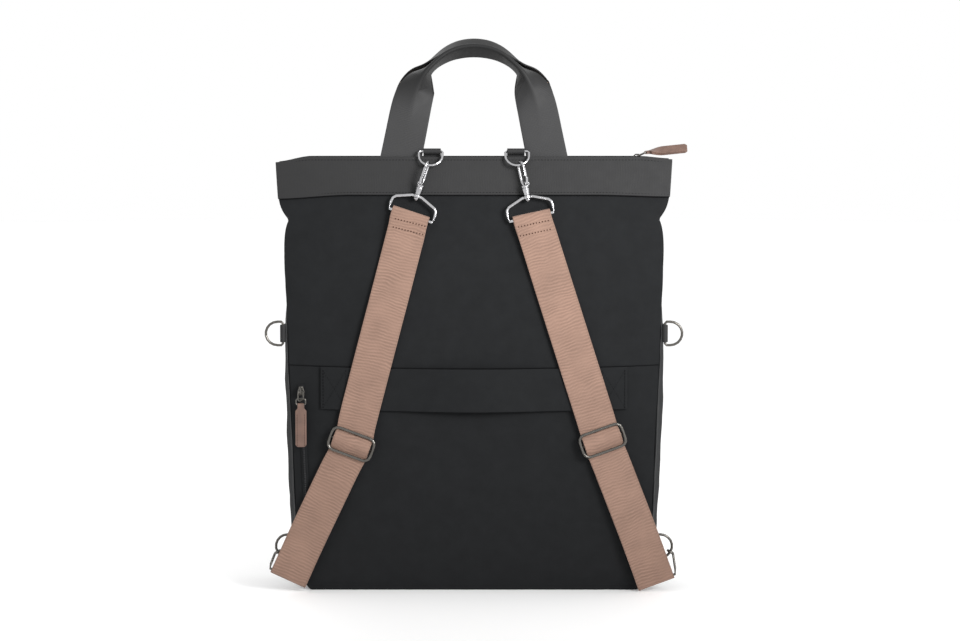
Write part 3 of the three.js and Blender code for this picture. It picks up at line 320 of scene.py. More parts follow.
def tinted(tree, shade, colour, darker, lighter):
    """The colour made darker and lighter where the shade goes from 0 to 1."""
    ramp = tree.nodes.new("ShaderNodeValToRGB")
    tree.links.new(shade, ramp.inputs["Fac"])
    ramp.color_ramp.elements[0].position = 0.25
    ramp.color_ramp.elements[1].position = 0.75
    for stop, share in zip(ramp.color_ramp.elements, (darker, lighter)):
        stop.color = [min(channel * share, 1) for channel in colour] + [1]
    return ramp.outputs["Color"]


def raised(tree, shader, height, depth, strength=1.0):
    """Joins a height from 0 to 1 to the shader's normal."""
    bump = linked(tree, "ShaderNodeBump", Height=height, Distance=depth, Strength=strength)
    tree.links.new(bump.outputs["Normal"], shader.inputs["Normal"])


def shell_cloth(name, colour, weave, across, down, roughness=0.78):
    """Coated plain-weave cloth: threads both ways, a faint mottle and a soft sheen."""
    material, tree, shader = new_material(name)
    threads = arithmetic(tree, "MULTIPLY", bands(tree, across, weave), bands(tree, down, weave))
    clouds = arithmetic(tree, "MULTIPLY", speckle(tree, 14 * MM), 0.8)
    mottle = arithmetic(tree, "MULTIPLY_ADD", threads, 0.25, clouds)
    tree.links.new(tinted(tree, mottle, colour, 0.86, 1.16), shader.inputs["Base Color"])
    grain = arithmetic(tree, "MULTIPLY_ADD", speckle(tree, 1.5 * MM), 0.5, threads)
    raised(tree, shader, grain, 0.12 * MM, 0.6)
    rough = arithmetic(tree, "MULTIPLY_ADD", speckle(tree, 5 * MM), 0.12, roughness - 0.06)
    tree.links.new(rough, shader.inputs["Roughness"])
    shader.inputs["Sheen Weight"].default_value = 0.02
    shader.inputs["Sheen Roughness"].default_value = 0.5
    shader.inputs["Specular IOR Level"].default_value = 0.14
    return material


def ribbed_webbing(name, colour, rib, relief, contrast, roughness, sheen):
    """Woven webbing: wandering ribs across its length, fine yarns along it, firm edges and painted shade on
    the handles' crown.

    Ribs and yarns follow the stored distances along and across the webbing.
    """
    material, tree, shader = new_material(name)
    along = linked_attribute(tree, "along")
    across = linked_attribute(tree, "across")
    uneven = speckle(tree, 9 * MM, 4.0)
    jitter = arithmetic(tree, "MULTIPLY", uneven, 5.0)
    wander = arithmetic(tree, "MULTIPLY_ADD", speckle(tree, 26 * MM), 16.0, jitter)
    phase = arithmetic(tree, "MULTIPLY_ADD", along, 2 * pi / rib, wander)
    patches = arithmetic(tree, "MULTIPLY_ADD", speckle(tree, 16 * MM, 2.0), 1.3, -0.25)
    ribs = arithmetic(tree, "MULTIPLY_ADD", arithmetic(tree, "SINE", phase), patches, 0.5)
    yarn_phase = arithmetic(tree, "MULTIPLY", across, 2 * pi / YARN_PITCH)
    yarns = arithmetic(tree, "MULTIPLY_ADD", arithmetic(tree, "SINE", yarn_phase), 0.5, 0.5)
    blend = arithmetic(tree, "MULTIPLY_ADD", yarns, 0.25, arithmetic(tree, "MULTIPLY", ribs, 0.75))
    weave_tone = arithmetic(tree, "MULTIPLY", blend, 0.45)
    tone = arithmetic(tree, "MULTIPLY_ADD", speckle(tree, 22 * MM), 0.55, weave_tone)
    selvedge = arithmetic(tree, "GREATER_THAN", arithmetic(tree, "ABSOLUTE", across), SELVEDGE_START)
    tone = arithmetic(tree, "MULTIPLY_ADD", selvedge, -0.16, tone)
    woven = tinted(tree, tone, colour, 1 - contrast, 1 + contrast)
    # Painted shade darkens the handles' crown, which faces up away from the light
    tree.links.new(crown_shaded_colour(tree, woven, colour), shader.inputs["Base Color"])
    raised(tree, shader, blend, relief, 0.8)
    rough = arithmetic(tree, "MULTIPLY_ADD", uneven, 0.15, roughness - 0.07)
    tree.links.new(rough, shader.inputs["Roughness"])
    shader.inputs["Sheen Weight"].default_value = sheen
    shader.inputs["Sheen Roughness"].default_value = 0.45
    shader.inputs["Specular IOR Level"].default_value = 0.3
    return material


def crown_shaded_colour(tree, woven, colour):
    """The woven colour, darkened with painted shade where the mesh's stored number marks the handles' crown.
    """
    mix = tree.nodes.new("ShaderNodeMix")
    mix.data_type = "RGBA"
    first, second = [socket for socket in mix.inputs if socket.type == "RGBA"]
    tree.links.new(linked_attribute(tree, "crown_shade"), mix.inputs["Factor"])
    tree.links.new(woven, first)
    second.default_value = [channel * CROWN_SHADE_SHARE for channel in colour] + [1]
    return next(socket for socket in mix.outputs if socket.type == "RGBA")


def linked_attribute(tree, name):
    """A number that the piece's own mesh stores."""
    node = tree.nodes.new("ShaderNodeAttribute")
    node.attribute_type = "GEOMETRY"
    node.attribute_name = name
    return node.outputs["Fac"]


def pull_leather(name, colour):
    """Fine-grained leather with worn, slightly lighter high spots."""
    material, tree, shader = new_material(name)
    cells = linked(tree, "ShaderNodeTexVoronoi", Vector=place_socket(tree), Scale=1 / (1.1 * MM))
    cells.feature = "SMOOTH_F1"
    pebble = arithmetic(tree, "MULTIPLY_ADD", speckle(tree, 3 * MM), 0.6, cells.outputs["Distance"])
    tree.links.new(tinted(tree, speckle(tree, 6 * MM), colour, 0.78, 1.22), shader.inputs["Base Color"])
    raised(tree, shader, pebble, 0.15 * MM, 0.6)
    tree.links.new(arithmetic(tree, "MULTIPLY_ADD", pebble, 0.2, 0.38), shader.inputs["Roughness"])
    return material


def plated_metal(name, colour, roughness):
    """Plated cast metal with faint handling marks."""
    material, tree, shader = new_material(name)
    marks = speckle(tree, 4 * MM, 2.0)
    tree.links.new(tinted(tree, speckle(tree, 7 * MM), colour, 0.9, 1.08), shader.inputs["Base Color"])
    rough = arithmetic(tree, "MULTIPLY_ADD", marks, 0.16, roughness - 0.05)
    tree.links.new(rough, shader.inputs["Roughness"])
    raised(tree, shader, marks, 0.04 * MM, 0.15)
    shader.inputs["Metallic"].default_value = 1.0
    return material


def spun_thread(name, colour):
    """Sewing thread with its twist."""
    material, tree, shader = new_material(name)
    twist = linked(tree, "ShaderNodeTexWave", Vector=place_socket(tree), Scale=pi / (10 * 0.5 * MM))
    twist.bands_direction = "DIAGONAL"
    tree.links.new(tinted(tree, twist.outputs["Fac"], colour, 0.8, 1.2), shader.inputs["Base Color"])
    raised(tree, shader, twist.outputs["Fac"], 0.06 * MM)
    shader.inputs["Roughness"].default_value = 0.9
    shader.inputs["Specular IOR Level"].default_value = 0.1
    return material


# Mesh helpers

def merged_copy(node, name):
    """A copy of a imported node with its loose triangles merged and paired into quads."""
    mesh = bmesh.new()
    mesh.from_mesh(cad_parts[node].data)
    bmesh.ops.remove_doubles(mesh, verts=mesh.verts, dist=0.01 * MM)
    bmesh.ops.join_triangles(
        mesh, faces=mesh.faces, angle_face_threshold=radians(25), angle_shape_threshold=radians(50))
    data = bpy.data.meshes.new(name)
    mesh.to_mesh(data)
    mesh.free()
    piece = bpy.data.objects.new(name, data)
    bpy.context.scene.collection.objects.link(piece)
    return piece


def bake(piece):
    """Turns the piece and its modifiers into one plain mesh."""
    bpy.context.view_layer.update()
    graph = bpy.context.evaluated_depsgraph_get()
    plain = bpy.data.meshes.new_from_object(piece.evaluated_get(graph))
    piece.modifiers.clear()
    piece.data = plain
    return piece


def rounded_sheet(node, name, edge, levels):
    """A sheet copied from a node, its cut edges rounded and its faces smoothed."""
    piece = merged_copy(node, name)
    bevel = piece.modifiers.new("edges", "BEVEL")
    bevel.width = edge
    bevel.segments = 2
    bevel.limit_method = "ANGLE"
    bevel.angle_limit = radians(50)
    bevel.use_clamp_overlap = True
    smooth = piece.modifiers.new("smooth", "SUBSURF")
    smooth.levels = levels
    smooth.render_levels = levels
    return bake(piece)


def cast_piece(node, name, grain, rounds=5, swell=0.0):
    """A hard piece copied from a node, its edges rounded as cast metal, then swollen back to size."""
    piece = merged_copy(node, name)
    cells = piece.modifiers.new("cells", "REMESH")
    cells.mode = "VOXEL"
    cells.voxel_size = grain
    soften = piece.modifiers.new("soften", "SMOOTH")
    soften.factor = 0.5
    soften.iterations = rounds
    bake(piece)
    if swell:
        outward = np.empty(len(piece.data.vertices) * 3)
        piece.data.vertex_normals.foreach_get("vector", outward)
        move_points(piece, points_of(piece) + swell * outward.reshape(-1, 3))
    return piece


def dress(piece, material, nodes, body="bag"):
    """Gives the piece its finish, its nodes to stand for and the body it rides on."""
    piece.data.materials.clear()
    piece.data.materials.append(material)
    piece.data.polygons.foreach_set("material_index", [0] * len(piece.data.polygons))
    piece.data.shade_smooth()
    if nodes:
        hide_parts(*nodes)
    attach(piece, body)
    made[piece.name] = piece
    return piece


def points_of(piece):
    """The piece's vertices as rows of x, y, z."""
    places = np.empty(len(piece.data.vertices) * 3)
    piece.data.vertices.foreach_get("co", places)
    return places.reshape(-1, 3)


def move_points(piece, places):
    """Puts the piece's vertices at these places."""
    piece.data.vertices.foreach_set("co", places.ravel())
    piece.data.update()


def fade(value, start, end):
    """0 up to start, 1 past end, smooth between; start may be above end."""
    share = np.clip((value - start) / (end - start), 0, 1)
    return share * share * (3 - 2 * share)


def folds(places, stretch, seed):
    """Smooth noise from 0 to 1 at each place, stretched along each axis."""
    shift = Vector((seed * 3.7, seed * 1.3, seed * 2.1))
    scale = Vector(stretch)
    values = [
        noise.fractal(Vector((x / scale.x, y / scale.y, z / scale.z)) + shift, 1.0, 2.0, 3)
        for x, y, z in places
    ]
    return np.clip(np.array(values) * 0.6 + 0.5, 0, 1)


def sink_cloth(piece, depth, face, low, high, half):
    """Lets a panel's cloth sink inwards between its seams, in shallow folds."""
    places = points_of(piece)
    across = np.abs(places[:, 0])
    heights = places[:, 2]
    off_sides = fade(across, half, half - SIDE_HOLD)
    off_seams = fade(heights, low, low + SEAM_HOLD) * fade(heights, high, high - SEAM_HOLD)
    wave = folds(places * (1, 0, 1), (0.11, 1, 0.075), 2 + face)
    places[:, 1] -= face * depth * off_sides * off_seams * wave
    move_points(piece, places)


def ripple_gusset(piece, hand, depth):
    """Wavy folds down the gusset, strongest where it is free near the strap side's edge."""
    places = points_of(piece)
    depths = places[:, 1]
    heights = places[:, 2]
    above_foot = fade(heights, 0.02, 0.06)
    below_rim = fade(heights, 0.40, 0.35)
    off_front = fade(depths, 0.058, 0.035)
    off_back = fade(depths, -0.056, -0.044)
    wave = folds(places * (0, 1, 1), (1, 0.05, 0.036), 5 + hand)
    places[:, 0] -= hand * depth * above_foot * below_rim * off_front * off_back * wave
    move_points(piece, places)


def settle_corners(piece):
    """Lets both ends of the rim drop a little, as the soft rim does where nothing holds it up."""
    places = points_of(piece)
    rise = fade(places[:, 2], BAND_LINE, RIM_LINE)
    start = FOOT_DROP_START + (RIM_DROP_START - FOOT_DROP_START) * rise
    height = fade(places[:, 2], DROP_FROM, DROP_FULL)
    for side in SIDES:
        corner = fade(HAND[side] * places[:, 0], start, RIM_HALF) * height
        places[:, 2] -= CORNER_DROP[side] * corner
    move_points(piece, places)


def roll_pull(piece):
    """Rolls a lying leather pull about its length, starting at its ring end, so that its face shows."""
    places = points_of(piece)
    start = places[:, 0].min()
    share = (places[:, 0] - start) / (places[:, 0].max() - start)
    angle = PULL_ROLL * fade(share, 0.05, 0.45)
    low_end = places[share < 0.1].mean(axis=0)
    high_end = places[share > 0.9].mean(axis=0)
    spine = low_end + (high_end - low_end) * share[:, None]
    offset = places - spine
    across = offset[:, 1] * np.cos(angle) - offset[:, 2] * np.sin(angle)
    up = offset[:, 1] * np.sin(angle) + offset[:, 2] * np.cos(angle)
    places[:, 1] = spine[:, 1] + across
    places[:, 2] = spine[:, 2] + up
    move_points(piece, places)


def fill_gusset(piece, hand, depth):
    """Swells the middle of a gusset outwards, most below the seam, as a packed bag's side does."""
    places = points_of(piece)
    depths = places[:, 1]
    heights = places[:, 2]
    off_back = fade(depths, -0.034, -0.008)
    off_front = fade(depths, 0.056, 0.034)
    above_floor = fade(heights, 0.0, 0.03)
    below_rim = fade(heights, 0.37, 0.20)
    places[:, 0] += hand * depth * off_back * off_front * above_floor * below_rim
    move_points(piece, places)


def store(piece, name, values):
    """Stores one number at each vertex."""
    attribute = piece.data.attributes.new(name, "FLOAT", "POINT")
    attribute.data.foreach_set("value", np.asarray(values, np.float32))


def mark_weave(piece, line):
    """Stores how far along and across the webbing each vertex lies, seen from the strap side."""
    spots = points_of(piece)[:, (0, 2)]
    nearest = np.full(len(spots), np.inf)
    along = np.zeros(len(spots))
    across = np.zeros(len(spots))
    walked = 0.0
    for first, last in zip(line[:-1], line[1:]):
        start = np.array(first)
        step = np.array(last) - start
        length = np.linalg.norm(step)
        heading = step / length
        travel = (spots - start) @ heading
        beside = (spots - start) @ np.array((heading[1], -heading[0]))
        held = start + np.outer(np.clip(travel, 0, length), heading)
        gap = np.linalg.norm(spots - held, axis=1)
        nearer = gap < nearest
        nearest[nearer] = gap[nearer]
        along[nearer] = walked + travel[nearer]
        across[nearer] = beside[nearer]
        walked += length
    store(piece, "along", along)
    store(piece, "across", across)


def mark_level(piece, along_axis, across_axis):
    """Stores the weave's distances straight from two axes."""
    places = points_of(piece)
    store(piece, "along", places[:, along_axis])
    store(piece, "across", places[:, across_axis])


def surface_of(*pieces):
    """A search tree over the faces of these pieces."""
    places = []
    faces = []
    for piece in pieces:
        shift = len(places)
        places.extend(vertex.co.copy() for vertex in piece.data.vertices)
        faces.extend([corner + shift for corner in face.vertices] for face in piece.data.polygons)
    return BVHTree.FromPolygons(places, faces)


def row_on(surface, spots, face, lift):
    """Points of a sewn row on a surface, from (x, z) pairs.

    Face is -1 for the strap side and 1 for the front.
    """
    row = []
    for x, z in spots:
        hit, normal, _, _ = surface.ray_cast(Vector((x, face * 0.3, z)), Vector((0, -face, 0)))
        if hit is None:
            if len(row) > 1:
                break
            row = []
            continue
        outward = normal if normal.y * face > 0 else -normal
        row.append(hit + outward * lift)
    return row


def edge_row(node, end, face, lift, inset=0.0):
    """Points along a sheet's top edge (end 1) or foot (end -1), on its outer side.

    The row stops short of the sheet's sides by the inset.
    """
    low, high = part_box(node)
    edge = high.z if end > 0 else low.z
    columns = {}
    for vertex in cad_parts[node].data.vertices:
        if abs(vertex.co.z - edge) > 4 * MM:
            continue
        column = round(vertex.co.x / MM)
        best = columns.get(column)
        if best is None or (end * vertex.co.z, face * vertex.co.y) > (end * best.z, face * best.y):
            columns[column] = vertex.co
    row = [columns[column] + Vector((0, face * lift, 0)) for column in sorted(columns)]
    for tip, neighbour in ((0, 1), (-1, -2)):
        gap = row[neighbour] - row[tip]
        row[tip] = row[tip] + gap.normalized() * inset
    return row


def between(first, last, count):
    """Evenly spaced pairs from first to last."""
    return [
        (first[0] + (last[0] - first[0]) * step / count, first[1] + (last[1] - first[1]) * step / count)
        for step in range(count + 1)
    ]


def line_object(name, rows):
    """One object that holds each row as a chain of edges."""
    places = []
    edges = []
    for row in rows:
        if len(row) < 2:
            continue
        start = len(places)
        places.extend(row)
        edges.extend((start + step, start + step + 1) for step in range(len(row) - 1))
    if not edges:
        raise RuntimeError(f"no row of {name} lies on its surface")
    data = bpy.data.meshes.new(name)
    data.from_pydata(places, edges, [])
    piece = bpy.data.objects.new(name, data)
    bpy.context.scene.collection.objects.link(piece)
    return piece


# Repeats made with geometry nodes

def add_socket(tree, name, kind, direction="INPUT"):
    """A named input or output of the node tree."""
    return tree.interface.new_socket(name, in_out=direction, socket_type=f"NodeSocket{kind}")


def row_start(tree, inputs):
    """Points at an even pitch along the tree's path."""
    curve = tree.nodes.new("GeometryNodeMeshToCurve")
    tree.links.new(inputs.outputs["Path"], curve.inputs["Mesh"])
    spaced = tree.nodes.new("GeometryNodeResampleCurve")
    spaced.mode = "LENGTH"
    tree.links.new(curve.outputs["Curve"], spaced.inputs["Curve"])
    tree.links.new(inputs.outputs["Pitch"], spaced.inputs["Length"])
    return spaced.outputs["Curve"]


def along_path(tree, axis):
    """A turn that lays this axis of the repeated shape along the path."""
    tangent = tree.nodes.new("GeometryNodeInputTangent")
    turn = tree.nodes.new("FunctionNodeAlignRotationToVector")
    turn.axis = axis
    tree.links.new(tangent.outputs["Tangent"], turn.inputs["Vector"])
    return turn.outputs["Rotation"]


def finish_tree(tree, inputs, geometry):
    """Makes the instances real, gives them their material and hands them out."""
    real = tree.nodes.new("GeometryNodeRealizeInstances")
    coat = tree.nodes.new("GeometryNodeSetMaterial")
    outputs = tree.nodes.new("NodeGroupOutput")
    tree.links.new(geometry, real.inputs["Geometry"])
    tree.links.new(real.outputs["Geometry"], coat.inputs["Geometry"])
    tree.links.new(inputs.outputs["Material"], coat.inputs["Material"])
    tree.links.new(coat.outputs["Geometry"], outputs.inputs["Repeats"])


def stitch_tree():
    """Short rounded stitches laid end to end along every row."""
    tree = bpy.data.node_groups.new("sewn_rows", "GeometryNodeTree")
    add_socket(tree, "Path", "Geometry")
    add_socket(tree, "Pitch", "Float")
    add_socket(tree, "Stitch length", "Float")
    add_socket(tree, "Thread radius", "Float")
    add_socket(tree, "Material", "Material")
    add_socket(tree, "Repeats", "Geometry", "OUTPUT")
    inputs = tree.nodes.new("NodeGroupInput")
    points = row_start(tree, inputs)
    bead = tree.nodes.new("GeometryNodeMeshUVSphere")
    bead.inputs["Segments"].default_value = 6
    bead.inputs["Rings"].default_value = 5
    bead.inputs["Radius"].default_value = 1.0
    half = tree.nodes.new("ShaderNodeMath")
    half.operation = "MULTIPLY"
    half.inputs[1].default_value = 0.5
    tree.links.new(inputs.outputs["Stitch length"], half.inputs[0])
    size = tree.nodes.new("ShaderNodeCombineXYZ")
    tree.links.new(inputs.outputs["Thread radius"], size.inputs["X"])
    tree.links.new(inputs.outputs["Thread radius"], size.inputs["Y"])
    tree.links.new(half.outputs["Value"], size.inputs["Z"])
    sewn = tree.nodes.new("GeometryNodeInstanceOnPoints")
    tree.links.new(points, sewn.inputs["Points"])
    tree.links.new(bead.outputs["Mesh"], sewn.inputs["Instance"])
    tree.links.new(along_path(tree, "Z"), sewn.inputs["Rotation"])
    tree.links.new(size.outputs["Vector"], sewn.inputs["Scale"])
    finish_tree(tree, inputs, sewn.outputs["Instances"])
    return tree


def tooth_tree():
    """Zip teeth as small blocks along every row."""
    tree = bpy.data.node_groups.new("zip_teeth", "GeometryNodeTree")
    add_socket(tree, "Path", "Geometry")
    add_socket(tree, "Pitch", "Float")
    add_socket(tree, "Tooth size", "Vector")
    add_socket(tree, "Material", "Material")
    add_socket(tree, "Repeats", "Geometry", "OUTPUT")
    inputs = tree.nodes.new("NodeGroupInput")
    points = row_start(tree, inputs)
    tooth = tree.nodes.new("GeometryNodeMeshCube")
    tree.links.new(inputs.outputs["Tooth size"], tooth.inputs["Size"])
    row = tree.nodes.new("GeometryNodeInstanceOnPoints")
    tree.links.new(points, row.inputs["Points"])
    tree.links.new(tooth.outputs["Mesh"], row.inputs["Instance"])
    tree.links.new(along_path(tree, "X"), row.inputs["Rotation"])
    finish_tree(tree, inputs, row.outputs["Instances"])
    return tree


def repeat_along(name, rows, tree, values):
    """Runs a repeat tree along the rows and keeps its result as a plain mesh."""
    piece = line_object(name, rows)
    repeat = piece.modifiers.new("repeat", "NODES")
    repeat.node_group = tree
    for item in tree.interface.items_tree:
        if item.in_out == "INPUT" and item.name in values:
            repeat[item.identifier] = values[item.name]
    return bake(piece)


def tree_named(name, build):
    """The node tree with this name, built the first time it is asked for."""
    return bpy.data.node_groups.get(name) or build()


def sew(name, rows, material, pitch=None, length=None, radius=None):
    """Sews stitches of this thread along the rows, in the sidebar's sizes where none are given."""
    thread = bpy.context.scene.backpack_thread
    piece = repeat_along(name, rows, tree_named("sewn_rows", stitch_tree), {
        "Pitch": pitch or thread.pitch,
        "Stitch length": length or thread.length,
        "Thread radius": radius or thread.radius,
        "Material": material,
    })
    return dress(piece, material, ())


def set_teeth(name, rows, size, material):
    """Sets zip teeth of this size along the rows."""
    piece = repeat_along(name, rows, tree_named("zip_teeth", tooth_tree), {
        "Pitch": bpy.context.scene.backpack_thread.tooth,
        "Tooth size": size,
        "Material": material,
    })
    return dress(piece, material, ())


# The bag's pieces, one operator for each group

def finishes():
    """Every material of the bag, by name, made once.

    After the colour come a cloth's weave pitch, two axes and roughness, a webbing's rib pitch, relief,
    contrast, roughness and sheen, and a metal's roughness.
    """
    scene = bpy.context.scene
    cloth = scene.backpack_cloth
    webbing = scene.backpack_webbing
    fitting = scene.backpack_fitting
    fine = 1.6 * MM
    makers = {
        "shell_face": (shell_cloth, cloth.colour, cloth.weave, "X", "Z"),
        "shell_side": (shell_cloth, cloth.colour, cloth.weave, "Y", "Z"),
        "shell_base": (shell_cloth, cloth.colour, cloth.weave, "X", "Y"),
        "dark_webbing": (ribbed_webbing, webbing.dark, fine, 0.05 * MM, 0.03, 0.66, 0.04),
        "handle_webbing": (ribbed_webbing, webbing.grip, fine, 0.10 * MM, 0.08, 0.62, 0.04),
        "rose_webbing": (ribbed_webbing, webbing.rose, webbing.rib, 0.3 * MM, 0.19, 0.72, 0.12),
        "handle_lining": (pull_leather, webbing.lining),
        "rose_leather": (pull_leather, fitting.leather),
        "bright_metal": (plated_metal, fitting.bright, 0.16),
        "dark_metal": (plated_metal, fitting.dark, 0.24),
        "zip_cloth": (shell_cloth, (0.016, 0.016, 0.017), 0.7 * MM, "X", "Z", 0.7),
        "zip_coil": (plated_metal, (0.05, 0.05, 0.052), 0.4),
        "dark_thread": (spun_thread, (0.004, 0.004, 0.0045)),
        "rose_thread": (spun_thread, (0.060, 0.028, 0.020)),
    }
    return {
        name: bpy.data.materials.get(name) or make(name, *values)
        for name, (make, *values) in makers.items()
    }


class BACKPACK_OT_shell(bpy.types.Operator):
    """Dress the back and front panels, gussets and base in woven cloth"""

    bl_idname = "backpack.shell"
    bl_label = "Shell panels"

    def execute(self, context):
        cloth = context.scene.backpack_cloth
        finish = finishes()
        free_top = BAND_LINE - 4 * MM
        for node, name, depth, face, low, high, half in (
            ("back_upper_panel", "upper_back_cloth", cloth.ripple, -1, SEAM_LINE, free_top, UPPER_FREE_HALF),
            ("back_lower_panel", "lower_back_cloth", cloth.ripple, -1, 0.0, SEAM_LINE, LOWER_FREE_HALF),
            ("front_panel", "front_cloth", cloth.ripple * 1.6, 1, 0.0, free_top, UPPER_FREE_HALF),
        ):
            panel = rounded_sheet(node, name, CLOTH_EDGE, cloth.levels)
            sink_cloth(panel, depth, face, low, high, half)
            settle_corners(panel)
            dress(panel, finish["shell_face"], (node,))
        for side in SIDES:
            gusset = rounded_sheet(f"gusset_{side}", f"gusset_cloth_{side}", CLOTH_EDGE, cloth.levels)
            fill_gusset(gusset, HAND[side], GUSSET_SWELL)
            ripple_gusset(gusset, HAND[side], GUSSET_FOLD)
            settle_corners(gusset)
            dress(gusset, finish["shell_side"], (f"gusset_{side}",))
        base = rounded_sheet("base_panel", "base_cloth", CLOTH_EDGE, cloth.levels)
        dress(base, finish["shell_base"], ("base_panel",))
        return {"FINISHED"}


class BACKPACK_OT_bands(bpy.types.Operator):
    """Dress the webbing bands round the rim and the trolley sleeve"""

    bl_idname = "backpack.bands"
    bl_label = "Rim bands and trolley sleeve"

    def execute(self, context):
        webbing = context.scene.backpack_webbing
        finish = finishes()
        for face in ("back", "front"):
            band = rounded_sheet(f"band_{face}", f"rim_band_{face}", webbing.edge, 2)
            mark_level(band, 0, 2)
            settle_corners(band)
            dress(band, finish["dark_webbing"], (f"band_{face}",))
        sleeve = rounded_sheet("trolley_sleeve", "sleeve_cloth", webbing.edge, 2)
        dress(sleeve, finish["shell_face"], ("trolley_sleeve",))
        return {"FINISHED"}


class BACKPACK_OT_handles(bpy.types.Operator):
    """Dress the folded carry handles and the lining strips in their legs"""

    bl_idname = "backpack.handles"
    bl_label = "Carry handles"

    def execute(self, context):
        webbing = context.scene.backpack_webbing
        finish = finishes()
        line = HANDLE_HALF + tuple((-x, z) for x, z in reversed(HANDLE_HALF[:-1]))
        for face in ("back", "front"):
            handle = rounded_sheet(f"handle_{face}", f"carry_handle_{face}", webbing.edge, 2)
            mark_weave(handle, line)
            # Painted shade: the handles' crown is stored as darker, since it faces up away from the light
            store(handle, "crown_shade", fade(points_of(handle)[:, 2], CROWN_SHADE_FROM, CROWN_SHADE_FULL))
            dress(handle, finish["handle_webbing"], (f"handle_{face}",))
            for side in SIDES:
                node = f"handle_{face}_lining_{side}"
                strip = rounded_sheet(node, f"lining_{face}_{side}", STRIP_EDGE, 2)
                dress(strip, finish["handle_lining"], (node,))
        return {"FINISHED"}


class BACKPACK_OT_straps(bpy.types.Operator):
    """Dress the shoulder straps in ribbed webbing"""

    bl_idname = "backpack.straps"
    bl_label = "Shoulder straps"

    def execute(self, context):
        webbing = context.scene.backpack_webbing
        finish = finishes()
        for side in SIDES:
            strap = rounded_sheet(f"shoulder_strap_{side}", f"strap_{side}", webbing.edge, 2)
            mark_weave(strap, STRAP_LINES[side])
            dress(strap, finish["rose_webbing"], (f"shoulder_strap_{side}",))
        return {"FINISHED"}


class BACKPACK_OT_fittings(bpy.types.Operator):
    """Cast the rings, snap hooks, gates, frames, sliders and lower hooks, and round their webbing tabs"""

    bl_idname = "backpack.fittings"
    bl_label = "Rings, hooks and sliders"

    def execute(self, context):
        grain = context.scene.backpack_fitting.grain
        finish = finishes()
        for side in SIDES:
            for node, name in (
                (f"top_ring_{side}", f"bright_ring_{side}"),
                (f"hook_{side}", f"snap_hook_{side}"),
                (f"hook_frame_{side}", f"strap_frame_{side}"),
            ):
                dress(cast_piece(node, name, grain, 5, CAST_LOSS), finish["bright_metal"], (node,))
            gate = cast_piece(f"hook_gate_{side}", f"snap_gate_{side}", grain * 0.7, 5, CAST_LOSS)
            dress(gate, finish["bright_metal"], (f"hook_gate_{side}",), f"gate_{side}")
            for node, name in (
                (f"side_ring_{side}", f"dark_ring_{side}"),
                (f"low_ring_{side}", f"dark_low_ring_{side}"),
                (f"strap_slider_{side}", f"slider_{side}"),
                (f"low_hook_{side}", f"strap_end_hook_{side}"),
            ):
                dress(cast_piece(node, name, grain, 5, CAST_LOSS), finish["dark_metal"], (node,))
            for node in (f"top_tab_{side}", f"side_tab_{side}", f"low_tab_{side}"):
                tab = cast_piece(node, f"{node}_webbing", TAB_CELL, 3)
                mark_level(tab, 2, 0)
                dress(tab, finish["dark_webbing"], (node,))
        return {"FINISHED"}


class BACKPACK_OT_zips(bpy.types.Operator):
    """Dress the top zip and the pocket zip with their teeth, sliders and leather pulls"""

    bl_idname = "backpack.zips"
    bl_label = "Zips and pulls"

    def execute(self, context):
        finish = finishes()
        for node, name in (("top_zip_tape", "top_tape"), ("top_zip_chain", "top_chain_bed")):
            strip = rounded_sheet(node, name, STRIP_EDGE, 2)
            settle_corners(strip)
            dress(strip, finish["zip_cloth"], (node,))
        welt = rounded_sheet("pocket_zip_tape", "pocket_welt", STRIP_EDGE, 2)
        dress(welt, finish["shell_face"], ("pocket_zip_tape",))
        for node in ("top_zip_slider", "pocket_zip_slider"):
            dress(cast_piece(node, f"{node}_body", SLIDER_CELL, 4), finish["dark_metal"], (node,))
        for node in ("top_zip_link", "pocket_zip_link", "pocket_zip_ring"):
            dress(cast_piece(node, f"{node}_wire", WIRE_CELL, 3), finish["dark_metal"], (node,))
        for node in ("top_zip_pull", "pocket_zip_pull"):
            pull = cast_piece(node, f"{node}_leather", LEATHER_CELL, 6)
            if node == "top_zip_pull":
                roll_pull(pull)
            dress(pull, finish["rose_leather"], (node,))
        low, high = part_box("top_zip_chain")
        middle = (low.y + high.y) / 2
        inset = 2 * MM
        top_row = [Vector((low.x + inset, middle, high.z)), Vector((high.x - inset, middle, high.z))]
        coil = finish["zip_coil"]
        settle_corners(set_teeth("top_teeth", [top_row], TOP_TOOTH, coil))
        slit = row_on(surface_of(made["pocket_welt"]), between(*POCKET_SLIT, 30), -1, SUNK_LIFT)
        set_teeth("pocket_teeth", [slit], POCKET_TOOTH, coil)
        return {"FINISHED"}


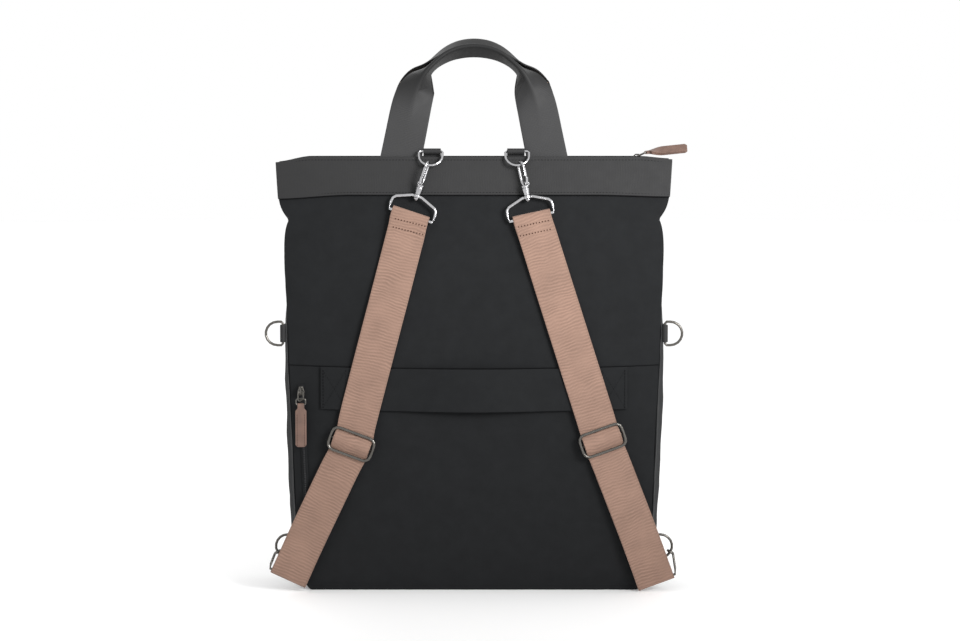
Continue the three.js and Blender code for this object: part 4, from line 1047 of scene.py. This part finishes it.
class BACKPACK_OT_stitching(bpy.types.Operator):
    """Sew the rows on the bands, sleeve, straps, seams and pulls"""

    bl_idname = "backpack.stitching"
    bl_label = "Stitching"

    def execute(self, context):
        finish = finishes()
        self.sew_bands(finish["dark_thread"])
        self.sew_sleeve(finish["dark_thread"])
        self.sew_straps(finish["rose_thread"])
        self.bead_seams(finish["dark_thread"])
        self.sew_pull(finish["rose_thread"])
        return {"FINISHED"}

    def sew_bands(self, thread):
        """A faint row near the foot and near the rim of each band."""
        for face, name in BAND_FACES:
            surface = surface_of(made[f"rim_band_{name}"])
            rows = [
                row_on(surface, between((-BAND_ROW_HALF, z), (BAND_ROW_HALF, z), 60), face, RAISED_LIFT)
                for z in (BAND_LINE + 2.6 * MM, RIM_LINE - 3.2 * MM)
            ]
            settle_corners(sew(f"band_rows_{name}", rows, thread))

    def sew_sleeve(self, thread):
        """A bold row at each end of the sleeve, and a faint box and cross inside it."""
        surface = surface_of(made["sleeve_cloth"])
        low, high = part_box("trolley_sleeve")
        foot = low.z + 4 * MM
        head = high.z - 4 * MM
        rows = []
        end_rows = []
        for hand in (-1, 1):
            outer = hand * (high.x - 2.6 * MM)
            inner = hand * (high.x - 25 * MM)
            end_rows.append(row_on(surface, between((outer, foot), (outer, head), 12), -1, RAISED_LIFT))
            rows.extend(
                row_on(surface, between(first, last, 12), -1, SUNK_LIFT)
                for first, last in (
                    ((inner, foot), (inner, head)),
                    ((outer, foot), (inner, head)),
                    ((inner, foot), (outer, head)),
                )
            )
        sew("sleeve_rows", rows, thread, 2.6 * MM, 1.8 * MM)
        sew("sleeve_end_rows", end_rows, thread, 3.0 * MM, 1.6 * MM, 0.55 * MM)

    def sew_straps(self, thread):
        """Two rows across each strap under its top fold."""
        for side in SIDES:
            surface = surface_of(made[f"strap_{side}"])
            first, second, slope = STRAP_ROWS[side]
            wide = slope[0] * STRAP_ROW_HALF
            high = slope[1] * STRAP_ROW_HALF
            rows = [
                row_on(surface, between((x - wide, z - high), (x + wide, z + high), 8), -1, THREAD_LIFT)
                for x, z in (first, second)
            ]
            sew(f"strap_rows_{side}", rows, thread, 2.8 * MM, 1.3 * MM, 0.7 * MM)

    def bead_seams(self, thread):
        """A dark bead along the middle seam, and a dark bead of painted shadow along the foot of each band,
        where the band casts its shadow line.
        """
        pitch = 1.4 * MM
        length = 2.6 * MM
        seam = edge_row("back_lower_panel", 1, -1, 0.0)
        sew("seam_line", [seam], thread, pitch, length, 0.45 * MM)
        for face, name in BAND_FACES:
            # Painted shadow: the dark bead under each band's foot stands in for the band's shadow line
            foot = edge_row(f"band_{name}", -1, face, -0.4 * MM, 2 * MM)
            settle_corners(sew(f"band_shadow_bead_{name}", [foot], thread, pitch, length, 0.7 * MM))

    def sew_pull(self, thread):
        """A row along each edge of the hanging leather pull."""
        low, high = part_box("pocket_zip_pull")
        surface = surface_of(made["pocket_zip_pull_leather"])
        middle = (low.x + high.x) / 2
        head = high.z - 12 * MM
        foot = low.z + 2 * MM
        rows = [
            row_on(surface, between((middle + shift, head), (middle + shift, foot), 12), -1, THREAD_LIFT)
            for shift in (-3.6 * MM, 3.6 * MM)
        ]
        sew("pull_rows", rows, thread, 2.4 * MM, 1.7 * MM, 0.28 * MM)


# The studio

class BACKPACK_OT_studio(bpy.types.Operator):
    """Lay the pale floor, hang the soft lights and set the camera"""

    bl_idname = "backpack.studio"
    bl_label = "Floor, lights and camera"

    def execute(self, context):
        studio = context.scene.backpack_studio
        self.lay_floor()
        self.light_sky(context.scene, studio.sky)
        self.hang_light("key_light", studio.key, *KEY_LIGHT)
        self.hang_light("fill_light", studio.fill, *FILL_LIGHT)
        self.hang_light("back_light", studio.fill * 3, *BACK_LIGHT)
        self.set_camera(context.scene, studio)
        return {"FINISHED"}

    def lay_floor(self):
        """A large round floor, barely mottled, that glows a little so that it stays white in shadow."""
        mesh = bmesh.new()
        bmesh.ops.create_circle(mesh, cap_ends=True, segments=96, radius=FLOOR_RADIUS)
        data = bpy.data.meshes.new("floor")
        mesh.to_mesh(data)
        mesh.free()
        floor = bpy.data.objects.new("floor", data)
        bpy.context.scene.collection.objects.link(floor)
        material, tree, shader = new_material("pale_floor")
        white = tinted(tree, speckle(tree, FLOOR_PATCH), FLOOR_WHITE, 0.995, 1.0)
        tree.links.new(white, shader.inputs["Base Color"])
        shader.inputs["Roughness"].default_value = 0.6
        shader.inputs["Emission Color"].default_value = (1.0, 1.0, 1.0, 1.0)
        shader.inputs["Emission Strength"].default_value = 0.08
        data.materials.append(material)
        return floor

    def light_sky(self, scene, strength):
        """White surroundings, so that the bag stands in even light."""
        world = bpy.data.worlds.new("studio_sky")
        world.use_nodes = True
        sky = world.node_tree.nodes["Background"]
        sky.inputs["Color"].default_value = (1.0, 1.0, 1.0, 1.0)
        sky.inputs["Strength"].default_value = strength
        scene.world = world
        scene.view_settings.view_transform = "Standard"

    def hang_light(self, name, power, place, target, size, spread):
        """A square soft light that faces the target."""
        lamp = bpy.data.lights.new(name, "AREA")
        lamp.shape = "SQUARE"
        lamp.size = size
        lamp.energy = power
        lamp.spread = spread
        holder = bpy.data.objects.new(name, lamp)
        holder.location = place
        holder.rotation_euler = (Vector(target) - Vector(place)).to_track_quat("-Z", "Y").to_euler()
        bpy.context.scene.collection.objects.link(holder)

    def set_camera(self, scene, studio):
        """The photograph's view: square on to the straps and a little from above."""
        lens = bpy.data.cameras.new("camera")
        lens.lens = studio.lens
        lens.sensor_width = 36.0
        lens.clip_start = 0.05
        camera = bpy.data.objects.new("camera", lens)
        aim = Vector(CAMERA_AIM)
        back = Vector((0, -cos(studio.rise), sin(studio.rise)))
        camera.location = aim + back * studio.distance
        camera.rotation_euler = (-back).to_track_quat("-Z", "Y").to_euler()
        scene.collection.objects.link(camera)
        scene.camera = camera


class BACKPACK_PT_sidebar(bpy.types.Panel):
    """Lists the bag's operators and settings in the sidebar"""

    bl_idname = "BACKPACK_PT_sidebar"
    bl_label = "Convertible backpack"
    bl_space_type = "VIEW_3D"
    bl_region_type = "UI"
    bl_category = "Backpack"

    def draw(self, context):
        for operator in OPERATORS:
            self.layout.operator(operator.bl_idname)
        for group in SETTINGS:
            box = self.layout.box()
            settings = getattr(context.scene, group)
            for name in settings.bl_rna.properties.keys():
                if name not in ("rna_type", "name"):
                    box.prop(settings, name)


SETTINGS = {
    "backpack_cloth": ClothSettings,
    "backpack_webbing": WebbingSettings,
    "backpack_fitting": FittingSettings,
    "backpack_thread": ThreadSettings,
    "backpack_studio": StudioSettings,
}
OPERATORS = (
    BACKPACK_OT_shell,
    BACKPACK_OT_bands,
    BACKPACK_OT_handles,
    BACKPACK_OT_straps,
    BACKPACK_OT_fittings,
    BACKPACK_OT_zips,
    BACKPACK_OT_stitching,
    BACKPACK_OT_studio,
)


def register():
    """Registers the settings, operators and panel."""
    for name, group in SETTINGS.items():
        bpy.utils.register_class(group)
        setattr(bpy.types.Scene, name, PointerProperty(type=group))
    for operator in OPERATORS:
        bpy.utils.register_class(operator)
    bpy.utils.register_class(BACKPACK_PT_sidebar)


def unregister():
    """Takes the panel, operators and settings away again."""
    bpy.utils.unregister_class(BACKPACK_PT_sidebar)
    for operator in reversed(OPERATORS):
        bpy.utils.unregister_class(operator)
    for name, group in SETTINGS.items():
        delattr(bpy.types.Scene, name)
        bpy.utils.unregister_class(group)


def main():
    """Builds the dressed bag and its studio."""
    register()
    bpy.ops.backpack.shell()
    bpy.ops.backpack.bands()
    bpy.ops.backpack.handles()
    bpy.ops.backpack.straps()
    bpy.ops.backpack.fittings()
    bpy.ops.backpack.zips()
    bpy.ops.backpack.stitching()
    bpy.ops.backpack.studio()


if __name__ == "__main__":
    main()
